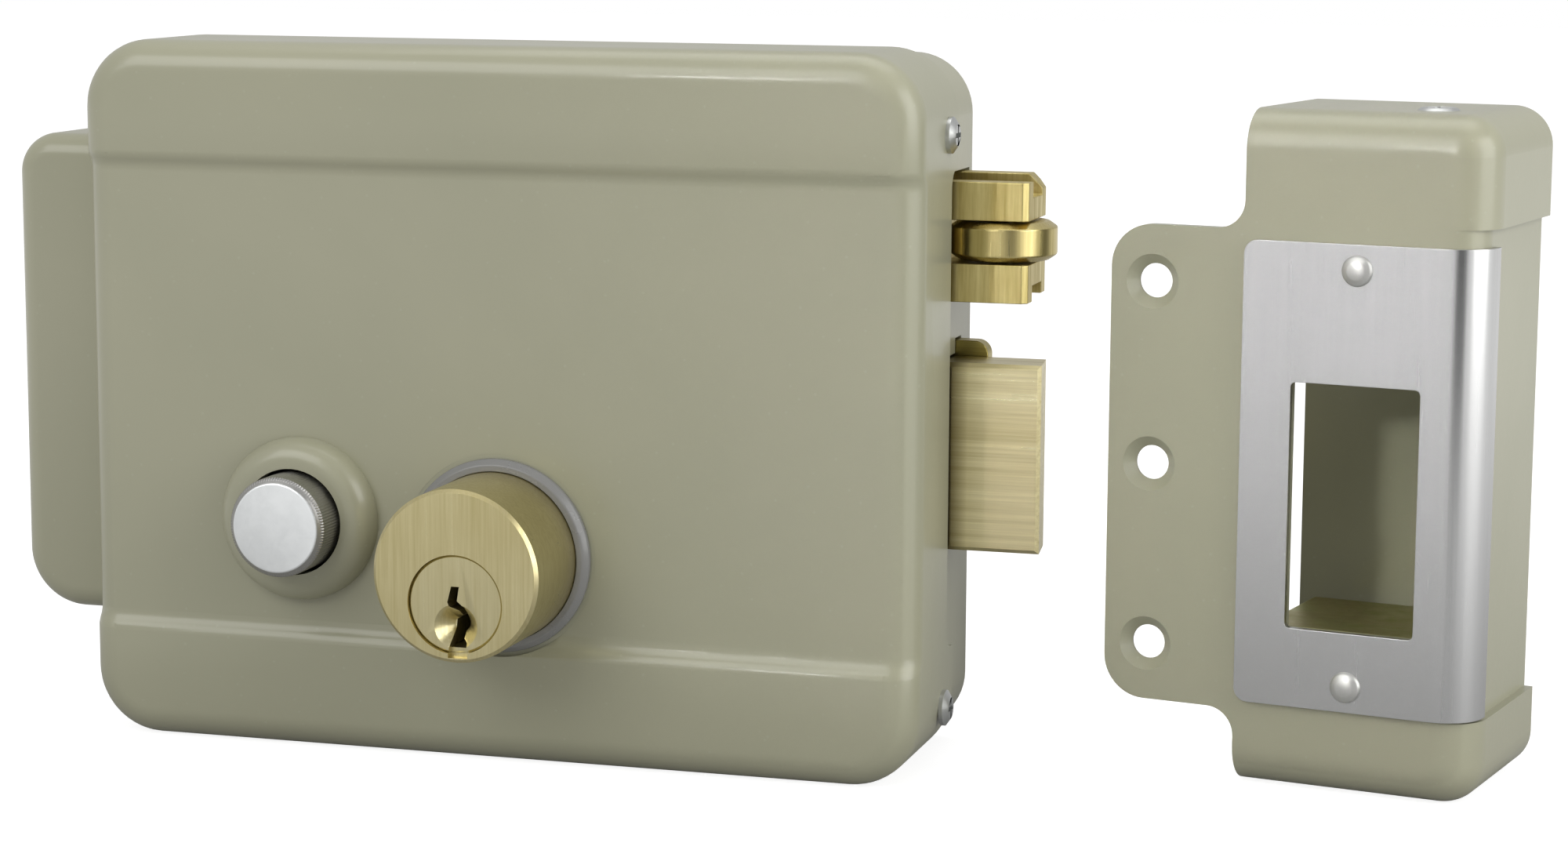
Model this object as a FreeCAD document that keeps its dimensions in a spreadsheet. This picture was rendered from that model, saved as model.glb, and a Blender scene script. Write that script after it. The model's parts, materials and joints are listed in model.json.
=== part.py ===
import FreeCAD, Part
import math
import os
import Sketcher

# Surface-mounted electromechanical door lock with its separate keeper, in millimetres.
# X runs towards the bolts, Y towards the door and Z up. The origin is the axis of the
# cylinder where it meets the door face. "Forward" is the distance from the door face
# towards the room, so it is -Y.

os.makedirs("parts", exist_ok=True)
V = FreeCAD.Vector
doc = FreeCAD.newDocument("ElectromechanicalLock")
sheet = doc.addObject("Spreadsheet::Sheet", "Sizes")


class Size:
    """A length that carries both its value and its expression in the sheet."""

    def __init__(self, value, text):
        self.value = float(value)
        self.text = text

    def joined(self, sign, other, value):
        return Size(value, "(%s %s %s)" % (self.text, sign, other.text))

    def __add__(self, other):
        other = as_size(other)
        return self.joined("+", other, self.value + other.value)

    def __sub__(self, other):
        other = as_size(other)
        return self.joined("-", other, self.value - other.value)

    def __mul__(self, other):
        other = as_size(other)
        return self.joined("*", other, self.value * other.value)

    def __truediv__(self, other):
        other = as_size(other)
        return self.joined("/", other, self.value / other.value)

    def __radd__(self, other):
        return as_size(other) + self

    def __rsub__(self, other):
        return as_size(other) - self

    def __rmul__(self, other):
        return as_size(other) * self

    def __neg__(self):
        return Size(-self.value, "(-1 * %s)" % self.text)


def as_size(number):
    """Return a plain number as a Size, and a Size as it is."""
    if isinstance(number, Size):
        return number
    return Size(number, "(%.6f)" % number)


cell_rows = []


def cell(name, value):
    """Write one driving dimension to the sheet and return it."""
    cell_rows.append(name)
    row = len(cell_rows)
    sheet.set("A%d" % row, name)
    sheet.set("B%d" % row, str(value))
    sheet.setAlias("B%d" % row, name)
    return Size(value, "Sizes." + name)


# Case: outline, sheet thickness and the pressed panel of the front cover
case_left = cell("case_left", 64.8)
case_right = cell("case_right", 62)
case_above = cell("case_above", 72.8)
case_below = cell("case_below", 30.5)
case_depth = cell("case_depth", 37)
case_corner = cell("case_corner", 10)
cover_sheet = cell("cover_sheet", 1.2)
cover_depth = cell("cover_depth", 19.2)
cover_edge = cell("cover_edge_radius", 4.5)
ear_reach = cell("ear_reach", 3.6)
ear_height = cell("ear_height", 17)
panel_recess = cell("panel_recess", 1.2)
panel_top = cell("panel_top_inset", 17.3)
panel_bottom = cell("panel_bottom_inset", 17.3)
panel_ramp = cell("panel_ramp", 3.6)
press_clear = cell("press_clearance", 0.03)
nest_gap = cell("nest_gap", 0.1)
housing_sheet = cell("housing_sheet", 1.2)
housing_wall = cell("housing_wall_height", 31)
back_sheet = cell("back_sheet", 1.5)
slide_gap = cell("slide_gap", 0.3)
hinge_gap = cell("hinge_gap", 0.05)

# Side extension on the left of the case
ext_width = cell("extension_width", 17)
ext_top = cell("extension_top", 58)
ext_bottom = cell("extension_bottom", 14.5)
ext_depth = cell("extension_depth", 25)
ext_sheet = cell("extension_sheet", 1.2)
ext_corner_top = cell("extension_top_corner", 6)
ext_corner_bottom = cell("extension_bottom_corner", 9)
ext_edge = cell("extension_edge_radius", 3.5)
ext_front = cell("extension_front_sheet", 1.8)

# Fixing to the door, and the openings in the back
fixing_wide = cell("fixing_spacing_x", 104)
fixing_high = cell("fixing_spacing_z", 84)
fixing_hole = cell("fixing_hole_radius", 2.6)
outer_hole = cell("outer_cylinder_hole_radius", 13)
outer_screw_spacing = cell("outer_screw_spacing", 32)
outer_screw_hole = cell("outer_screw_hole_radius", 2.2)
cable_hole = cell("cable_hole_radius", 5)
cable_wall_gap = cell("cable_hole_wall_gap", 14.3)
cable_x = case_left - cover_sheet - nest_gap - housing_sheet - cable_wall_gap
cable_z = cell("cable_hole_height", 12)

# Side screws that hold the cover
side_screw_forward = cell("side_screw_forward", 19.8)
side_screw_top = cell("side_screw_top_inset", 12)
side_screw_bottom = cell("side_screw_bottom_inset", 8.9)
side_screw_head = cell("side_screw_head_radius", 2.6)
side_screw_dome = cell("side_screw_head_height", 1.3)
side_screw_shank = cell("side_screw_shank_radius", 1.5)
side_screw_length = cell("side_screw_length", 5.5)
cross_arm = cell("cross_recess_arm", 0.58)
cross_web = cell("cross_recess_width", 0.26)
cross_depth = cell("cross_recess_depth", 0.9)

# Fixed cylinder, its plug and its carrier
cyl_radius = cell("cylinder_radius", 12.3)
cyl_front = cell("cylinder_front", 53)
cyl_back = cell("cylinder_back", 24)
cyl_chamfer = cell("cylinder_chamfer", 0.5)
cyl_hole_gap = cell("cylinder_hole_gap", 0.3)
collar_radius = cell("collar_radius", 14.1)
collar_height = cell("collar_height", 1.6)
plug_drop = cell("plug_drop", 4)
plug_radius = cell("plug_radius", 7)
plug_recess = cell("plug_recess", 0.4)
plug_shank = cell("plug_shank_radius", 4)
plug_end = cell("plug_end", 9)
keyway_width = cell("keyway_width", 1.2)
keyway_top = cell("keyway_top", 2.5)
keyway_bottom = cell("keyway_bottom", 6.3)
key_dimple = cell("key_dimple_radius", 3.2)
key_dimple_drop = cell("key_dimple_drop", 3.2)
key_dimple_depth = cell("key_dimple_depth", 2.4)
notch_depth = cell("notch_depth", 0.9)
pin_radius = cell("pin_radius", 1.35)
pin_height = cell("pin_height", 3)
pin_pitch = cell("pin_pitch", 4)
pin_start = cell("pin_start", 5)
pin_chamber_top = cell("pin_chamber_top", 10.6)
pin_slack = cell("pin_slack", 0.2)
pin_count = 5
carrier_sheet = cell("carrier_sheet", 2)
carrier_half_width = cell("carrier_half_width", 17)
carrier_top = cell("carrier_top", 12)
carrier_bottom = cell("carrier_bottom", 20)
carrier_foot = cell("carrier_foot", 6)
carrier_screw_x = cell("carrier_screw_x", 7.5)
carrier_screw_z = cell("carrier_screw_z", 6.5)
carrier_screw_head = cell("carrier_screw_head_radius", 3)
carrier_screw_height = cell("carrier_screw_head_height", 1.6)
carrier_screw_shank = cell("carrier_screw_shank_radius", 1.8)
carrier_screw_grip = cell("carrier_screw_grip", 7)
carrier_screw_room = cell("carrier_screw_room", 1)

# Deadbolt, its toothed tail and the pinion on the plug
bolt_forward = cell("bolt_forward", 9.4)
bolt_depth = cell("bolt_depth", 7.8)
bolt_bottom = cell("bolt_bottom", 1)
bolt_height = cell("bolt_height", 27.2)
bolt_proud = cell("bolt_proud", 13.2)
bolt_slope = cell("bolt_end_slope", 1)
bolt_length = cell("bolt_length", 41.6)
bolt_chamfer = cell("bolt_chamfer", 0.6)
bolt_throw = cell("bolt_throw", 14)
tail_sheet = cell("tail_sheet", 2.5)
tail_top = cell("tail_top", 24)
tail_left = cell("tail_left", 7.5)
tail_lap = cell("tail_lap", 13)
tail_stud_x = cell("tail_stud_x", 10)
tail_stud_z = cell("tail_stud_z", 15)
tail_stud = cell("tail_stud_radius", 2.5)
tooth_module = cell("tooth_module", 1.5)
tooth_count = 9
tooth_backlash = cell("tooth_backlash", 0.3)
tooth_height = cell("tooth_height", 1.15)
tooth_root = cell("tooth_root", 1.75)
pinion_width = cell("pinion_width", 3.5)

# Roller latch
latch_forward = cell("latch_forward", 3.2)
latch_depth = cell("latch_depth", 13)
latch_middle = cell("latch_middle", 45.4)
latch_height = cell("latch_height", 17.2)
latch_lift = cell("latch_rear_lift", 0.65)
latch_proud = cell("latch_proud", 10.7)
latch_length = cell("latch_length", 34)
latch_leg = cell("latch_leg", 3.5)
latch_groove = cell("latch_groove_depth", 2.3)
latch_corner = cell("latch_corner", 2)
latch_travel = cell("latch_travel", 11)
roller_radius = cell("roller_radius", 7.7)
roller_height = cell("roller_height", 5.6)
roller_proud = cell("roller_proud", 13.5)
roller_gap = cell("roller_gap", 0.3)
roller_chamfer = cell("roller_chamfer", 1.2)
roller_pin = cell("roller_pin_radius", 2)
pull_sheet = cell("pull_sheet", 2)
pull_half_height = cell("pull_half_height", 4)
pull_lap = cell("pull_lap", 8)
pull_tab_reach = cell("pull_tab_reach", 33)

# Trigger tongue behind the deadbolt
trigger_forward = cell("trigger_forward", 5.9)
trigger_depth = cell("trigger_depth", 3)
trigger_bottom = cell("trigger_bottom", 15)
trigger_top = cell("trigger_top", 30.4)
trigger_proud = cell("trigger_proud", 3.5)
trigger_length = cell("trigger_length", 26)
trigger_travel = cell("trigger_travel", 3.5)
trigger_stud_x = cell("trigger_stud_x", 50)
trigger_stud = cell("trigger_stud_radius", 2)

# Push button and its guide
button_x = cell("button_left", 30.6)
button_z = cell("button_height", 3.8)
button_radius = cell("button_radius", 7.3)
button_front = cell("button_front", 45.3)
button_chamfer = cell("button_chamfer", 0.9)
button_back = cell("button_back", 33)
button_stem = cell("button_stem_radius", 3)
boss_radius = cell("boss_radius", 12)
boss_height = cell("boss_height", 4)
boss_round = cell("boss_round", 3.4)
boss_hole = cell("boss_hole_radius", 7.8)
guide_radius = cell("guide_radius", 10.2)
guide_back = cell("guide_back", 22)
guide_wall = cell("guide_wall", 1.4)
guide_flange = cell("guide_flange_radius", 13)
clip_radius = cell("clip_radius", 4.8)
clip_sheet = cell("clip_sheet", 0.8)

# Rocker that turns the push into a pull on the latch
rocker_x = cell("rocker_left", 23)
rocker_forward = cell("rocker_forward", 13)
rocker_shaft = cell("rocker_shaft_radius", 2.5)
rocker_hub = cell("rocker_hub_radius", 4)
rocker_arm = cell("rocker_arm_thickness", 3)
rocker_push_reach = cell("rocker_push_reach", 11.5)
rocker_push_height = cell("rocker_push_height", 6)
rocker_pull_reach = cell("rocker_pull_reach", 17)
rocker_pull_bottom = cell("rocker_pull_bottom", 53)
rocker_pull_height = cell("rocker_pull_height", 3)
rocker_pin = cell("rocker_pin_radius", 2)
rocker_bottom = cell("rocker_bottom", 9)
rocker_top = cell("rocker_top", 61)
bracket_sheet = cell("bracket_sheet", 2)
bracket_half_width = cell("bracket_half_width", 3.7)
bracket_low_ear = cell("bracket_low_ear", 8)
bracket_high_ear = cell("bracket_high_ear", 58)

# Solenoid
coil_wall_gap = cell("coil_wall_gap", 3.6)
coil_left = case_left - cover_sheet - nest_gap - housing_sheet - coil_wall_gap
coil_right = cell("coil_right", 36.6)
coil_middle = cell("coil_middle", 60)
coil_forward = cell("coil_forward", 23)
coil_radius = cell("coil_radius", 8.5)
frame_sheet = cell("frame_sheet", 2)
frame_half = cell("frame_half_height", 8.8)
tape_sheet = cell("tape_thickness", 0.3)
lead_radius = cell("lead_radius", 0.7)
lead_room = cell("lead_room", 4)
plunger_radius = cell("plunger_radius", 4)
plunger_reach = cell("plunger_reach", 17)
plunger_travel = cell("plunger_travel", 7.2)
plunger_pin = cell("plunger_pin_radius", 1.5)
plunger_pin_length = cell("plunger_pin_length", 4.6)
pull_gap = cell("pull_gap", 0.5)

# Small fixed pieces
terminal_wall_gap = cell("terminal_wall_gap", 2.3)
terminal_left = case_left - cover_sheet - nest_gap - housing_sheet - terminal_wall_gap
terminal_bottom = cell("terminal_bottom", 24)
terminal_width = cell("terminal_width", 12)
terminal_height = cell("terminal_height", 16)
terminal_depth = cell("terminal_depth", 10)
terminal_screw = cell("terminal_screw_radius", 1.8)
spring_seat_x = cell("spring_seat_x", 14)
spring_wire = cell("spring_wire", 0.9)
latch_spring_radius = cell("latch_spring_radius", 4)
latch_rod = cell("latch_rod_radius", 2)
strap_gap = cell("strap_gap", 1)

# Keeper: its own frame starts at its front left bottom corner
keeper_x = cell("keeper_x", 103.3)
keeper_forward = cell("keeper_forward", 17.8)
keeper_turn = cell("keeper_turn", 11)
keeper_wide = cell("keeper_width", 34.9)
keeper_deep = cell("keeper_depth", 30.8)
keeper_sheet = cell("keeper_sheet", 1.8)
keeper_cap_top = cell("keeper_cap_top", 15.4)
keeper_cap_bottom = cell("keeper_cap_bottom", 12.1)
keeper_cap_step = cell("keeper_cap_step", 1.2)
keeper_side_round = cell("keeper_side_round", 6)
keeper_end_round = cell("keeper_end_round", 5.6)
keeper_end_wall = cell("keeper_end_wall", 2.5)
keeper_body_round = cell("keeper_body_round", 5)
flange_wide = cell("flange_width", 19.7)
flange_cap_lap = cell("flange_cap_lap", 1.1)
flange_cap_gap = cell("flange_cap_gap", 1.2)
flange_hole_end = cell("flange_hole_end", 8.05)
flange_corner = cell("flange_corner", 6)
flange_fillet = cell("flange_fillet", 4)
flange_hole_inset = cell("flange_hole_inset", 6.2)
flange_hole_pitch = cell("flange_hole_pitch", 26)
flange_hole = cell("flange_hole_radius", 2.45)
flange_sink = cell("flange_sink_radius", 3.9)
flange_low = keeper_cap_bottom - flange_cap_lap
flange_high = flange_low + 2 * (flange_hole_pitch + flange_hole_end)
keeper_high = flange_high + flange_cap_gap + keeper_cap_top
plate_low_gap = cell("plate_low_gap", 0.3)
plate_top_gap = cell("plate_top_gap", 2.5)
plate_low = keeper_cap_bottom + plate_low_gap
plate_high = keeper_high - keeper_cap_top - plate_top_gap
window_left = cell("window_left", 7.6)
window_right = cell("window_right", 26.1)
window_lift = cell("window_lift", 11.2)
window_tall = cell("window_height", 34.7)
window_low = plate_low + window_lift
window_high = window_low + window_tall
plate_sheet = cell("plate_sheet", 1)
plate_return = cell("plate_return", 6)
plate_corner = cell("plate_corner", 2)
rivet_head = cell("rivet_head_radius", 2.25)
rivet_height = cell("rivet_head_height", 0.9)
rivet_shank = cell("rivet_shank_radius", 1.4)
rivet_inset = cell("rivet_inset", 3.6)
rivet_x = cell("rivet_x", 16.7)
inner_sheet = cell("keeper_bracket_sheet", 1.8)
inner_gap = cell("keeper_bracket_gap", 0.1)
inner_wide = cell("keeper_bracket_width", 25.5)
inner_reach = cell("keeper_bracket_reach", 22)
keeper_screw_x = cell("keeper_screw_x", 23.6)
keeper_screw_back = cell("keeper_screw_back", 13)
keeper_screw_head = cell("keeper_screw_head_radius", 3)
keeper_screw_shank = cell("keeper_screw_shank_radius", 1.8)

doc.recompute()


def bind(thing, path, size):
    """Tie one property of an object to the sheet."""
    thing.setExpression(path, as_size(size).text)


def place(thing, x=0, y=0, z=0, axis=None, angle=0):
    """Put an object at a bound position, turned about one axis."""
    x, y, z, angle = as_size(x), as_size(y), as_size(z), as_size(angle)
    turn = FreeCAD.Rotation(axis, angle.value) if axis else FreeCAD.Rotation()
    thing.Placement = FreeCAD.Placement(V(x.value, y.value, z.value), turn)
    bind(thing, "Placement.Base.x", x)
    bind(thing, "Placement.Base.y", y)
    bind(thing, "Placement.Base.z", z)
    if axis:
        bind(thing, "Placement.Rotation.Angle", angle)


FORWARD = dict(axis=V(1, 0, 0), angle=90)
SIDEWAYS = dict(axis=V(0, 1, 0), angle=90)


def new_body(label, **where):
    """Start a sub-part made of sketches and features."""
    body = doc.addObject("PartDesign::Body", label)
    body.Label = label
    if where:
        place(body, **where)
    return body


class Outline:
    """A sketch on one of a body's origin planes, each point bound to the sheet."""

    def __init__(self, body, plane, offset=0):
        self.body = body
        self.sketch = body.newObject("Sketcher::SketchObject", body.Label + "_outline")
        planes = [item for item in body.Origin.OriginFeatures if item.Role == plane]
        self.sketch.AttachmentSupport = (planes[0], [""])
        self.sketch.MapMode = "FlatFace"
        offset = as_size(offset)
        self.sketch.AttachmentOffset = FreeCAD.Placement(V(0, 0, offset.value), FreeCAD.Rotation())
        bind(self.sketch, "AttachmentOffset.Base.z", offset)

    def fix(self, kind, geometry, end, size):
        """Bind one coordinate of a point, or a radius."""
        if kind == "Radius":
            rule = Sketcher.Constraint("Radius", geometry, size.value)
        else:
            rule = Sketcher.Constraint(kind, -1, 1, geometry, end, size.value)
        number = self.sketch.addConstraint(rule)
        bind(self.sketch, "Constraints[%d]" % number, size)

    def pin(self, geometry, end, point):
        """Bind both coordinates of a point."""
        self.fix("DistanceX", geometry, end, as_size(point[0]))
        self.fix("DistanceY", geometry, end, as_size(point[1]))

    def path(self, points, arcs=None, closed=True):
        """Draw a path. arcs maps a side's number to its centre and its turning sense."""
        arcs = arcs or {}
        first = self.sketch.GeometryCount
        flat = [V(as_size(x).value, as_size(y).value, 0) for x, y in points]
        count = len(points)
        sides = count if closed else count - 1
        ends = []
        for side in range(sides):
            start, stop = flat[side], flat[(side + 1) % count]
            if side in arcs:
                centre, anticlockwise = arcs[side]
                middle = V(as_size(centre[0]).value, as_size(centre[1]).value, 0)
                begin, finish = (start, stop) if anticlockwise else (stop, start)
                circle = Part.Circle(middle, V(0, 0, 1), (start - middle).Length)
                from_angle = math.atan2(begin.y - middle.y, begin.x - middle.x)
                to_angle = math.atan2(finish.y - middle.y, finish.x - middle.x)
                self.sketch.addGeometry(Part.ArcOfCircle(circle, from_angle, to_angle), False)
                ends.append((1, 2) if anticlockwise else (2, 1))
            else:
                self.sketch.addGeometry(Part.LineSegment(start, stop), False)
                ends.append((1, 2))
        for side in range(count if closed else sides - 1):
            follower = (side + 1) % count
            self.sketch.addConstraint(Sketcher.Constraint(
                "Coincident", first + side, ends[side][1], first + follower, ends[follower][0]))
        if not closed:
            self.pin(first + sides - 1, ends[-1][1], points[-1])
        for side in range(sides):
            self.pin(first + side, ends[side][0], points[side])
            if side in arcs:
                chord = flat[(side + 1) % count] - flat[side]
                centre = arcs[side][0]
                if abs(chord.y) > abs(chord.x):
                    self.fix("DistanceX", first + side, 3, as_size(centre[0]))
                else:
                    self.fix("DistanceY", first + side, 3, as_size(centre[1]))
        return self

    def run(self, points, arcs):
        """Draw an open path of lines and arcs, for a sweep to follow."""
        return self.path(points, arcs, closed=False)

    def rectangle(self, left, right, low, high):
        """Draw a rectangle between two bound corners."""
        return self.path([(left, low), (right, low), (right, high), (left, high)])

    def rounded(self, left, right, low, high, radius, low_radius=None):
        """Draw a rectangle with round corners, the lower two of another radius if given."""
        left, right, low, high = as_size(left), as_size(right), as_size(low), as_size(high)
        up = as_size(radius)
        down = as_size(low_radius) if low_radius is not None else up
        points = [(left + down, low), (right - down, low), (right, low + down), (right, high - up),
                  (right - up, high), (left + up, high), (left, high - up), (left, low + down)]
        arcs = {1: ((right - down, low + down), True), 3: ((right - up, high - up), True),
                5: ((left + up, high - up), True), 7: ((left + down, low + down), True)}
        return self.path(points, arcs)

    def circle(self, x, y, radius):
        """Draw a circle at a bound centre."""
        x, y, radius = as_size(x), as_size(y), as_size(radius)
        number = self.sketch.GeometryCount
        round_edge = Part.Circle(V(x.value, y.value, 0), V(0, 0, 1), radius.value)
        self.sketch.addGeometry(round_edge, False)
        self.pin(number, 3, (x, y))
        self.fix("Radius", number, 0, radius)
        return self

    def slot(self, left, right, middle, radius):
        """Draw a slot along the sketch's first axis, between its two end centres."""
        points = [(left, middle - radius), (right, middle - radius),
                  (right, middle + radius), (left, middle + radius)]
        arcs = {1: ((right, middle), True), 3: ((left, middle), True)}
        return self.path(points, arcs)


def solid_volume(body):
    """Return a body's volume so far."""
    doc.recompute()
    return body.Shape.Volume if body.Tip else 0.0


def feature(kind, outline, **settings):
    """Add a feature on an outline and check that it changes the body the right way."""
    body = outline.body
    before = solid_volume(body)
    made = body.newObject("PartDesign::" + kind, body.Label + "_" + kind.lower())
    made.Profile = outline.sketch
    for name, value in settings.items():
        if isinstance(value, Size):
            bind(made, name, value)
        else:
            setattr(made, name, value)
    after = solid_volume(body)
    grows = kind in ("Pad", "Revolution")
    if (after - before if grows else before - after) < 1e-4:
        raise ValueError("%s changes nothing on %s" % (kind, body.Label))
    return made


def pad(outline, length, backward=False):
    """Extrude an outline along its plane's normal."""
    return feature("Pad", outline, Length=as_size(length), Reversed=backward)


def pocket(outline, length, onward=False):
    """Cut an outline against its plane's normal, or along it when onward is set."""
    return feature("Pocket", outline, Length=as_size(length), Reversed=onward)


def turn(outline, cut=False):
    """Revolve an outline about its sketch's vertical axis."""
    kind = "Groove" if cut else "Revolution"
    return feature(kind, outline, ReferenceAxis=(outline.sketch, ["V_Axis"]), Angle=360)


def sweep(outline, route):
    """Cut an outline along a route, without turning it."""
    return feature("SubtractivePipe", outline, Spine=(route.sketch, []), Mode="Fixed")


def dress(kind, body, radius, choose):
    """Fillet or chamfer the edges that the test picks."""
    doc.recompute()
    base = body.Tip
    names = ["Edge%d" % (number + 1) for number, edge in enumerate(base.Shape.Edges) if choose(edge)]
    if not names:
        raise ValueError("no edge to dress on " + body.Label)
    made = body.newObject("PartDesign::" + kind, body.Label + "_" + kind.lower())
    made.Base = (base, names)
    bind(made, "Radius" if kind == "Fillet" else "Size", radius)
    doc.recompute()
    return made


def on_plane(axis, level):
    """Test for an edge that lies whole in one plane across an axis."""
    level = as_size(level).value

    def test(edge):
        box = edge.BoundBox
        low, high = getattr(box, axis + "Min"), getattr(box, axis + "Max")
        return abs(low - level) < 1e-3 and abs(high - level) < 1e-3
    return test


def runs_along(edge, axis):
    """Say whether an edge is straight and parallel to an axis."""
    box = edge.BoundBox
    lengths = {"X": box.XLength, "Y": box.YLength, "Z": box.ZLength}
    own = lengths.pop(axis)
    return own > 1e-3 and max(lengths.values()) < 1e-4


def turned(label, points, arcs=None, **where):
    """Make a round piece from half its section: radius and height along its own axis."""
    body = new_body(label, **where)
    turn(Outline(body, "XZ_Plane").path(points, arcs))
    return body


def rod(name, radius, length, **where):
    """Make a plain round bar."""
    bar = doc.addObject("Part::Cylinder", name)
    bind(bar, "Radius", radius)
    bind(bar, "Height", length)
    place(bar, **where)
    return bar


def group(label, members):
    """Keep like solids together as one sub-part."""
    compound = doc.addObject("Part::Compound", label)
    compound.Links = members
    compound.Label = label
    return compound


def cross_recess(screw, head_radius, top, below=False):
    """Press a cross into a screw's head, from above or from below."""
    arm, web = head_radius * cross_arm, head_radius * cross_web / 2
    mark = Outline(screw, "XY_Plane", top)
    mark.path([(-arm, -web), (-web, -web), (-web, -arm), (web, -arm), (web, -web), (arm, -web),
               (arm, web), (web, web), (web, arm), (-web, arm), (-web, web), (-arm, web)])
    pocket(mark, cross_depth, onward=below)


def coil(label, radius, wire, length, turns, sides, **where):
    """Make a compression spring of square wire, its turns drawn with a few straight sides."""
    body = doc.addObject("Part::Feature", label)
    steps = turns * sides
    climb = length - wire
    points = [V(radius * math.cos(2 * math.pi * step / sides),
        radius * math.sin(2 * math.pi * step / sides),
                wire / 2 + climb * step / steps) for step in range(steps + 1)]
    spine = Part.makePolygon(points)
    half = wire / 2
    across = V(1, 0, 0)
    upward = V(0, 0, 1)
    corners = [points[0] + across * (half * a) + upward * (half * b)
               for a, b in ((-1, -1), (1, -1), (1, 1), (-1, 1), (-1, -1))]
    section = Part.makePolygon(corners)
    body.Shape = spine.makePipeShell([section], True, True, 1)
    body.Label = label
    place(body, **where)
    return body


def lead(name, points):
    """Run a round insulated wire through points."""
    wire = doc.addObject("Part::Feature", name)
    curve = Part.BSplineCurve()
    curve.interpolate(points)
    start = curve.tangent(curve.FirstParameter)[0]
    circle = Part.Wire(Part.makeCircle(lead_radius.value, points[0], start))
    wire.Shape = Part.Wire(curve.toShape()).makePipeShell([circle], True, True, 2)
    return wire


def rear_housing():
    """Tray against the door: back plate, side walls, bolt openings and the ear on the left."""
    body = new_body("rear_housing")
    inset = cover_sheet + nest_gap
    left, right = -case_left + inset, case_right - inset
    low, high = -case_below + inset, case_above - inset
    corner = case_corner - inset
    pad(Outline(body, "XZ_Plane").rounded(left, right, low, high, corner), housing_wall)
    hollow = Outline(body, "XZ_Plane", housing_wall)
    hollow.rounded(left + housing_sheet, right - housing_sheet, low + housing_sheet,
                   high - housing_sheet, corner - housing_sheet)
    pocket(hollow, housing_wall - back_sheet)
    ear = Outline(body, "XZ_Plane")
    ear.path([(-case_left - ext_width + ext_sheet, -ext_bottom + ext_sheet),
        (left + 0.5, -ext_bottom + ext_sheet),
              (left + 0.5, ext_top - ext_sheet), (-case_left - ext_width + ext_sheet, ext_top - ext_sheet)])
    pad(ear, back_sheet)
    dress("Fillet", body, ext_corner_top - ext_sheet, lambda edge: runs_along(edge, "Y")
          and edge.BoundBox.XMax < -case_left.value - 1)
    holes = Outline(body, "XZ_Plane", back_sheet)
    middle_x = (case_right - case_left) / 2
    middle_z = (case_above - case_below) / 2
    for side in (-1, 1):
        for level in (-1, 1):
            holes.circle(middle_x + side * fixing_wide / 2, middle_z + level * fixing_high / 2, fixing_hole)
        holes.circle(side * outer_screw_spacing / 2, 0, outer_screw_hole)
    holes.circle(0, 0, outer_hole)
    holes.circle(-cable_x, cable_z, cable_hole)
    pocket(holes, back_sheet)
    axis_forward = latch_forward + latch_depth / 2
    openings = Outline(body, "YZ_Plane", case_right)
    openings.rectangle(-axis_forward - roller_radius - slide_gap, -axis_forward + roller_radius + slide_gap,
                       latch_middle - latch_height / 2 - slide_gap,
                       latch_middle + latch_height / 2 + latch_lift + slide_gap)
    pocket(openings, inset + housing_sheet + 1)
    bolt_way = Outline(body, "YZ_Plane", case_right)
    bolt_way.rectangle(-bolt_forward - bolt_depth - slide_gap, -bolt_forward + slide_gap,
                       bolt_bottom - slide_gap, bolt_bottom + bolt_height + slide_gap)
    pocket(bolt_way, inset + housing_sheet + 1)
    trigger_way = Outline(body, "YZ_Plane", case_right)
    trigger_way.rectangle(-trigger_forward - trigger_depth - slide_gap, -trigger_forward + slide_gap,
                          trigger_bottom - slide_gap, trigger_top + slide_gap)
    pocket(trigger_way, inset + housing_sheet + 1)
    for side in (-1, 1):
        edge_x = -case_left if side < 0 else case_right
        screw_holes = Outline(body, "YZ_Plane", edge_x + side)
        for level in (case_above - side_screw_top, -case_below + side_screw_bottom):
            screw_holes.circle(-side_screw_forward, level, side_screw_shank)
        pocket(screw_holes, inset + housing_sheet + 2, onward=side < 0)
    return body


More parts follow.
